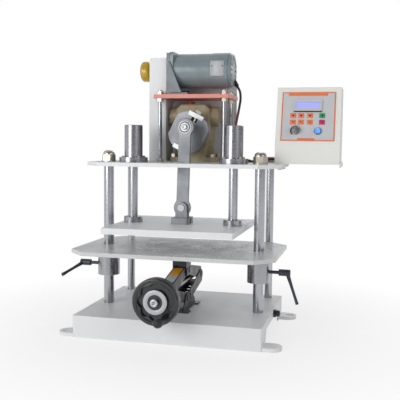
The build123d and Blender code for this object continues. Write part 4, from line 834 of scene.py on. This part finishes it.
class TESTER_OT_table(bpy.types.Operator):
    """Perforated table with its fine field of holes"""
    bl_idname = "tester.table"
    bl_label = "Make perforated table"

    def execute(self, context):
        detail = settings()[2]
        low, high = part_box("perforated_table")
        top, under = high.z, low.z
        pitch, radius = detail.hole_pitch, detail.hole_radius
        field_x, field_y = 0.150, 0.1275
        count_x, count_y = int(2 * field_x / pitch), int(2 * field_y / pitch)
        start_x = (low.x + high.x) / 2 - count_x * pitch / 2
        start_y = (low.y + high.y) / 2 - count_y * pitch / 2
        bm = bmesh.new()
        grid = {}

        def corner(ix, iy, z):
            key = (ix, iy, z)
            if key not in grid:
                grid[key] = bm.verts.new((start_x + ix * pitch, start_y + iy * pitch, z))
            return grid[key]

        for ix in range(count_x):
            for iy in range(count_y):
                hole = (start_x + (ix + 0.5) * pitch, start_y + (iy + 0.5) * pitch)
                upper, lower = ([bm.verts.new((x, y, z))
                                 for x, y in ring_of(radius, 8, hole)]
                                for z in (top, under))
                for z, ring, order in ((top, upper, 1), (under, lower, -1)):
                    box = [corner(ix + 1, iy + 1, z), corner(ix, iy + 1, z), corner(ix, iy, z),
                           corner(ix + 1, iy, z)]
                    for quarter, after in looped(4):
                        first, middle, last = (ring[(quarter * 2 + k) % 8] for k in range(3))
                        for shape in ((first, box[quarter], middle), (middle, box[quarter], last),
                                      (last, box[quarter], box[after])):
                            bm.faces.new(shape[::order])
                for k, after in looped(8):
                    bm.faces.new((upper[k], upper[after], lower[after], lower[k]))
        column_holes = [ring_of(0.0135, 32, (side * 0.1875, PRESS_LINE_Y)) for side in (-1, 1)]
        add_table_rim(bm, rim_of_table(low, high), column_holes, grid, (count_x, count_y), top,
                      under)
        bmesh.ops.remove_doubles(bm, verts=bm.verts, dist=1e-6)
        finished_piece(turn_outward(bm, bpy.data.meshes.new("table_sheet")), "table",
                       "lift_table", "table_steel", False, "perforated_table")
        return {"FINISHED"}


class TESTER_OT_panel_print(bpy.types.Operator):
    """Printed border, keys and bare marks of the control panel"""
    bl_idname = "tester.panel_print"
    bl_label = "Make panel print"

    def execute(self, context):
        width = settings()[2].border_width
        half_x, half_y, mid = 0.0634, 0.0604, 0.070
        print_thick, foot_thick = 0.00025, 0.0028
        upright = 2 * half_y - 2 * width
        strips = [
            ("border_top", 0.0, mid + half_y - width / 2, 2 * half_x, width),
            ("border_bottom", 0.0, mid - half_y + width / 2, 2 * half_x, width),
            ("border_left", -half_x + width / 2, mid, width, upright),
            ("border_right", half_x - width / 2, mid, width, upright),
            ("band_top", -0.0015, mid + half_y - 0.0062, 0.093, 0.0062),
            ("band_bottom", -0.0032, mid - half_y + 0.0048, 0.0404, 0.0040),
            ("bezel_foot", -0.0013, 0.0818, 0.0665, 0.0022),
        ]
        for name, x, y, wide, high in strips:
            foot = name == "bezel_foot"
            mesh = prism(name, rounded(wide, high, min(wide, high) * 0.18, (x, y), 2),
                         panel_plane(), foot_thick if foot else print_thick)
            finished_piece(mesh, "black" if foot else "orange", "machine_frame", "panel_face",
                           False)
        keys = ((0.0718, ("orange", "orange", "orange", "green")),
                (0.0556, ("orange", "orange", "orange", "crimson")))
        columns = (-0.0353, -0.0164, 0.0046, 0.0330)
        key_thick = 0.0008
        for row, (up, finishes) in enumerate(keys):
            for column, (across, finish) in enumerate(zip(columns, finishes)):
                mesh = prism(f"key_{row}_{column}",
                             rounded(0.0138, 0.0121, 0.0015, (across, up), 4),
                             panel_plane(), key_thick)
                soften(finished_piece(mesh, finish, "machine_frame", "key_film", True,
                                      "keypad_keys"), 0.0004)
                mark = ring_of(0.0022, 3 if row else 20, (across, up),
                               math.pi / 2 + math.pi * column)
                finished_piece(prism(f"key_mark_{row}_{column}", mark, panel_plane(key_thick),
                                     0.0001), "black", "machine_frame", "panel_face", False)
        return {"FINISHED"}


class TESTER_OT_knob_dial(bpy.types.Operator):
    """Dial crescent, pointer and cap of the speed knob, and the button's bezel"""
    bl_idname = "tester.knob_dial"
    bl_label = "Make knob and button details"

    def execute(self, context):
        profile = [(0.0, 0.0062), (0.0006, 0.0062), (0.0009, 0.0055), (0.001, 0.001)]
        cap_foot = panel_point(*KNOB, 0.012) + PANEL_OUT * 0.0004
        finished_piece(lathe("knob_cap", profile, cap_foot, PANEL_OUT, 40), "disc", "knob",
                       "knob_metal")
        pointer = rounded(0.0009, 0.0045, 0.0003, (KNOB[0], KNOB[1] + 0.0035), 2)
        finished_piece(prism("knob_pointer", pointer, panel_plane(0.0132), 0.0005), "film",
                       "knob", "knob_metal", False)
        steps, reach = 28, 0.0128
        outer, inner = [], []
        for index in range(steps + 1):
            turn = math.radians(230 - 235 * index / steps)
            thick = 0.0026 * (1 - index / steps) + 0.0004
            for loop, radius in ((outer, reach), (inner, reach - thick)):
                loop.append((KNOB[0] + radius * math.cos(turn), KNOB[1] + radius * math.sin(turn)))
        finished_piece(prism("dial_crescent", outer + inner[::-1], panel_plane(), 0.0002),
                       "black", "machine_frame", "panel_face", False)
        profile = [(0.0, 0.0092), (0.0012, 0.0092), (0.0018, 0.0086), (0.0018, 0.0076),
                   (0.0002, 0.0076)]
        finished_piece(lathe("button_bezel", profile, panel_point(*BUTTON), PANEL_OUT, 48),
                       "bearing", "machine_frame", "knob_metal")
        return {"FINISHED"}


class TESTER_OT_labels(bpy.types.Operator):
    """Bare nameplate on the motor and the bare label on the jack arm"""
    bl_idname = "tester.labels"
    bl_label = "Make bare plates"

    def execute(self, context):
        y, z = MOTOR_AXIS
        reach, thick, steps = 0.0443, 0.0005, 14
        start, stop = math.radians(151), math.radians(203)
        vertices, faces = [], []
        for radius in (reach, reach + thick):
            for i in range(steps + 1):
                turn = start + (stop - start) * i / steps
                vertices += [(x, y + radius * math.cos(turn), z + radius * math.sin(turn))
                             for x in (0.0456, 0.0805)]
        row = 2 * (steps + 1)
        for i in range(steps):
            a = 2 * i
            b = row + a
            faces += [(a, a + 1, a + 3, a + 2), (b, b + 2, b + 3, b + 1), (a, a + 2, b + 2, b),
                      (a + 1, b + 1, b + 3, a + 3)]
        end = 2 * steps
        faces += [(0, row, row + 1, 1), (end, end + 1, row + end + 1, row + end)]
        finished_piece(mesh_from("motor_nameplate", vertices, faces), "plate", "machine_frame",
                       "motor_paint")
        turn = math.radians(170)
        out = Vector((0, math.cos(turn), math.sin(turn)))
        for name, x in (("plate_rivet_a", 0.0500), ("plate_rivet_b", 0.0770)):
            rivet = lathe(name, [(0.0, 0.0016), (0.0005, 0.0015), (0.0009, 0.0006)],
                          Vector((x, y, z)) + out * (reach + 0.0004), out, 20)
            finished_piece(rivet, "black", "machine_frame", "nut_steel")
        lean = math.radians(15.01)
        tilt = lean - math.radians(3.9)
        root = Vector((0, -0.0347, 0.1424)) + Vector((0, -math.sin(lean), math.cos(lean))) * 0.01165
        along = Vector((0, -math.cos(tilt), -math.sin(tilt)))
        label = prism("jack_label", rounded(0.0225, 0.088, 0.001, (0.0, 0.056), 2),
                      (root, Vector((-1, 0, 0)), along), 0.0004)
        if label.polygons[1].normal @ Vector((0, -math.sin(tilt), math.cos(tilt))) < 0.9:
            raise RuntimeError("the jack label doesn't face out of the arm")
        finished_piece(label, "label", "front_high_arm", "cast_paint", False)
        return {"FINISHED"}


class TESTER_OT_threads(bpy.types.Operator):
    """Threads of the jack screw, the adjusting screw and the post ends"""
    bl_idname = "tester.threads"
    bl_label = "Make threads"

    def execute(self, context):
        screw = thread("jack_thread", Vector((0, -0.1375, TRUNNION_Z)), BACK, 0.270, 0.0062,
                       0.004, 0.0009, 20)
        finished_piece(screw, "screw", "screw_and_wheel", "shaft_steel", False)
        start = Vector((0, 0.035, CRANK_AXIS_Z)) - CRANK_ALONG * 0.046
        adjust = thread("adjusting_thread", start, CRANK_ALONG, 0.092, 0.00415, 0.00125, 0.0004,
                        16)
        finished_piece(adjust, "nut", "adjuster", "nut_steel", False)
        for side, x in (("left", -0.0775), ("right", 0.0855)):
            for depth, y in (("front", 0.044), ("rear", 0.138)):
                post = thread(f"post_thread_{side}_{depth}", Vector((x, y, 0.5756)), UP, 0.003,
                              0.00512, 0.0015, 0.0004, 20)
                finished_piece(post, "nut", "machine_frame", "nut_steel", False)
        return {"FINISHED"}


class TESTER_OT_handwheel(bpy.types.Operator):
    """Web, grey ring, screw and inner grips of the jack's handwheel"""
    bl_idname = "tester.handwheel"
    bl_label = "Make handwheel details"

    def execute(self, context):
        lobes = settings()[2].lobe_count

        def add(mesh, finish, slot="black_handwheel"):
            return finished_piece(mesh, finish, "screw_and_wheel", slot)

        def hub(y):
            return Vector((0, y, TRUNNION_Z))

        profile = [(0.0, 0.0275), (0.0066, 0.0275), (0.0076, 0.0265), (0.0078, 0.018)]
        add(lathe("wheel_face", profile, hub(WHEEL_WEB_Y + 0.0002), FORWARD, 72), "wheel")
        add(lathe_ring("wheel_ring", hub(WHEEL_FRONT_Y + 0.0004), FORWARD, 0.0165, 0.0267, 0.0012),
            "grey_ring")
        profile = [(0.0, 0.0085), (0.0022, 0.0085), (0.0028, 0.0078), (0.0028, 0.0026),
                   (0.0008, 0.0024)]
        add(lathe("wheel_screw", profile, hub(WHEEL_FRONT_Y - 0.006), FORWARD, 48), "bright",
            "nut_steel")
        steps = 96
        outline = []
        for index in range(steps):
            turn = 2 * math.pi * index / steps
            wave = 0.5 + 0.5 * math.cos(lobes * turn)
            reach = 0.0345 + 0.0062 * wave ** 0.6
            outline.append((reach * math.cos(turn), reach * math.sin(turn)))
        rim = ring_of(0.0425, steps)
        front = WHEEL_FRONT_Y + 0.0012
        loops = ((front, outline), (front, rim), (WHEEL_WEB_Y, rim), (WHEEL_WEB_Y, outline))
        vertices = [(x, depth, TRUNNION_Z + z) for depth, loop in loops for x, z in loop]
        faces = [(here * steps + i, here * steps + j, there * steps + j, there * steps + i)
                 for here, there in looped(len(loops)) for i, j in looped(steps)]
        soften(add(solid_from("wheel_grips", vertices, faces), "wheel"), 0.0012, 0.7)
        return {"FINISHED"}


class TESTER_OT_fittings(bpy.types.Operator):
    """Motor gusset, fan grille, panel wing, slot plates, rod bearing rings and saddle front"""
    bl_idname = "tester.fittings"
    bl_label = "Make fittings"

    def execute(self, context):
        foot, peak = PLATFORM_TOP_Z + 0.0058, PLATFORM_TOP_Z + 0.0840
        gusset = prism("motor_gusset", [(-0.0572, foot), (-0.0250, foot), (-0.0572, peak)],
                       facing_front(0.0539), 0.0045)
        soften(finished_piece(gusset, "bracket", "machine_frame", "motor_paint", False), 0.0006)
        # Thin black slots on the motor end cap are painted shade, standing in for the dark openings
        # of the fan grille.
        slots = 16
        slot = [(0.026, -0.0016), (0.038, -0.0026), (0.038, 0.0026), (0.026, 0.0016)]
        for index in range(slots):
            turn = 2 * math.pi * index / slots
            points = [(r * math.cos(turn) - t * math.sin(turn),
                       r * math.sin(turn) + t * math.cos(turn)) for r, t in slot]
            mesh = prism(f"grille_painted_shade_{index}", points, (Vector((0.0968, *MOTOR_AXIS)), BACK, UP),
                         0.0004)
            finished_piece(mesh, "black", "machine_frame", "motor_paint", False)
        # The panel wing is white sheet in shade; it gets the darker grey copy of the white paint,
        # which is painted shade.
        wing = prism("panel_wing", rectangle(-0.090, TOP_PLATE_Z, -0.0598, 0.6003),
                     facing_front(0.1575), 0.0015)
        finished_piece(wing, "white_panel_painted_shade", "machine_frame", "panel_grey", False)
        width = 0.040
        section = [(0.0461, 0.040), (0.0461, 0.0248), (0.0385, 0.0248), (0.0385, 0.0222),
                   (0.0501, 0.0222), (0.0501, 0.040)]
        hub = Vector((0, 0, CRANK_AXIS_Z))
        for name, way in (("slot_plate_top", 1), ("slot_plate_foot", -1)):
            plate = prism(name, section,
                          (hub + CRANK_ACROSS * (width / 2) * way, CRANK_ALONG * way, BACK), width)
            soften(finished_piece(plate, "bright", "crank", "disc_steel", False,
                                  "slot_end_plates"), 0.0005)
        for name, inner, outer, height, finish in (
                ("race_outer", 0.0128, 0.0154, 0.0005, "bright"),
                ("race_shield", 0.0108, 0.0130, 0.0002, "black"),
                ("race_inner", 0.0088, 0.0110, 0.0005, "bright")):
            ring = lathe_ring(name, CRANK_PIN, FORWARD, inner, outer, height)
            finished_piece(ring, finish, "rod", "bearing_steel")
        lip = prism("saddle_front", rectangle(-0.0168, 0.1565, 0.0168, 0.1892),
                    facing_front(-0.0425), 0.0024)
        finished_piece(lip, "jack", "lift_table", "cast_paint", False)
        return {"FINISHED"}


class TESTER_PT_sidebar(bpy.types.Panel):
    """Lists the tester's settings and build steps in the sidebar"""
    bl_idname = "TESTER_PT_sidebar"
    bl_label = "Foam tester"
    bl_space_type = "VIEW_3D"
    bl_region_type = "UI"
    bl_category = "Tester"

    def draw(self, context):
        layout = self.layout
        for group in settings():
            box = layout.box()
            for key in group.bl_rna.properties.keys():
                if key not in ("rna_type", "name"):
                    box.prop(group, key)
        for operator in OPERATORS:
            layout.operator(operator.bl_idname)


OPERATORS = (TESTER_OT_camera, TESTER_OT_stage, TESTER_OT_finishes, TESTER_OT_table,
             TESTER_OT_panel_print, TESTER_OT_knob_dial, TESTER_OT_labels, TESTER_OT_threads,
             TESTER_OT_handwheel, TESTER_OT_fittings)
GROUPS = (TesterStageSettings, TesterFinishSettings, TesterDetailSettings)


def register():
    for cls in (*GROUPS, *OPERATORS, TESTER_PT_sidebar):
        bpy.utils.register_class(cls)
    bpy.types.Scene.tester_stage = PointerProperty(type=TesterStageSettings)
    bpy.types.Scene.tester_finish = PointerProperty(type=TesterFinishSettings)
    bpy.types.Scene.tester_detail = PointerProperty(type=TesterDetailSettings)


def unregister():
    for name in ("tester_detail", "tester_finish", "tester_stage"):
        delattr(bpy.types.Scene, name)
    for cls in reversed((*GROUPS, *OPERATORS, TESTER_PT_sidebar)):
        bpy.utils.unregister_class(cls)


def main():
    """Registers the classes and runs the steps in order."""
    register()
    for operator in OPERATORS:
        group, name = operator.bl_idname.split(".")
        getattr(getattr(bpy.ops, group), name)()


if __name__ == "__main__":
    main()
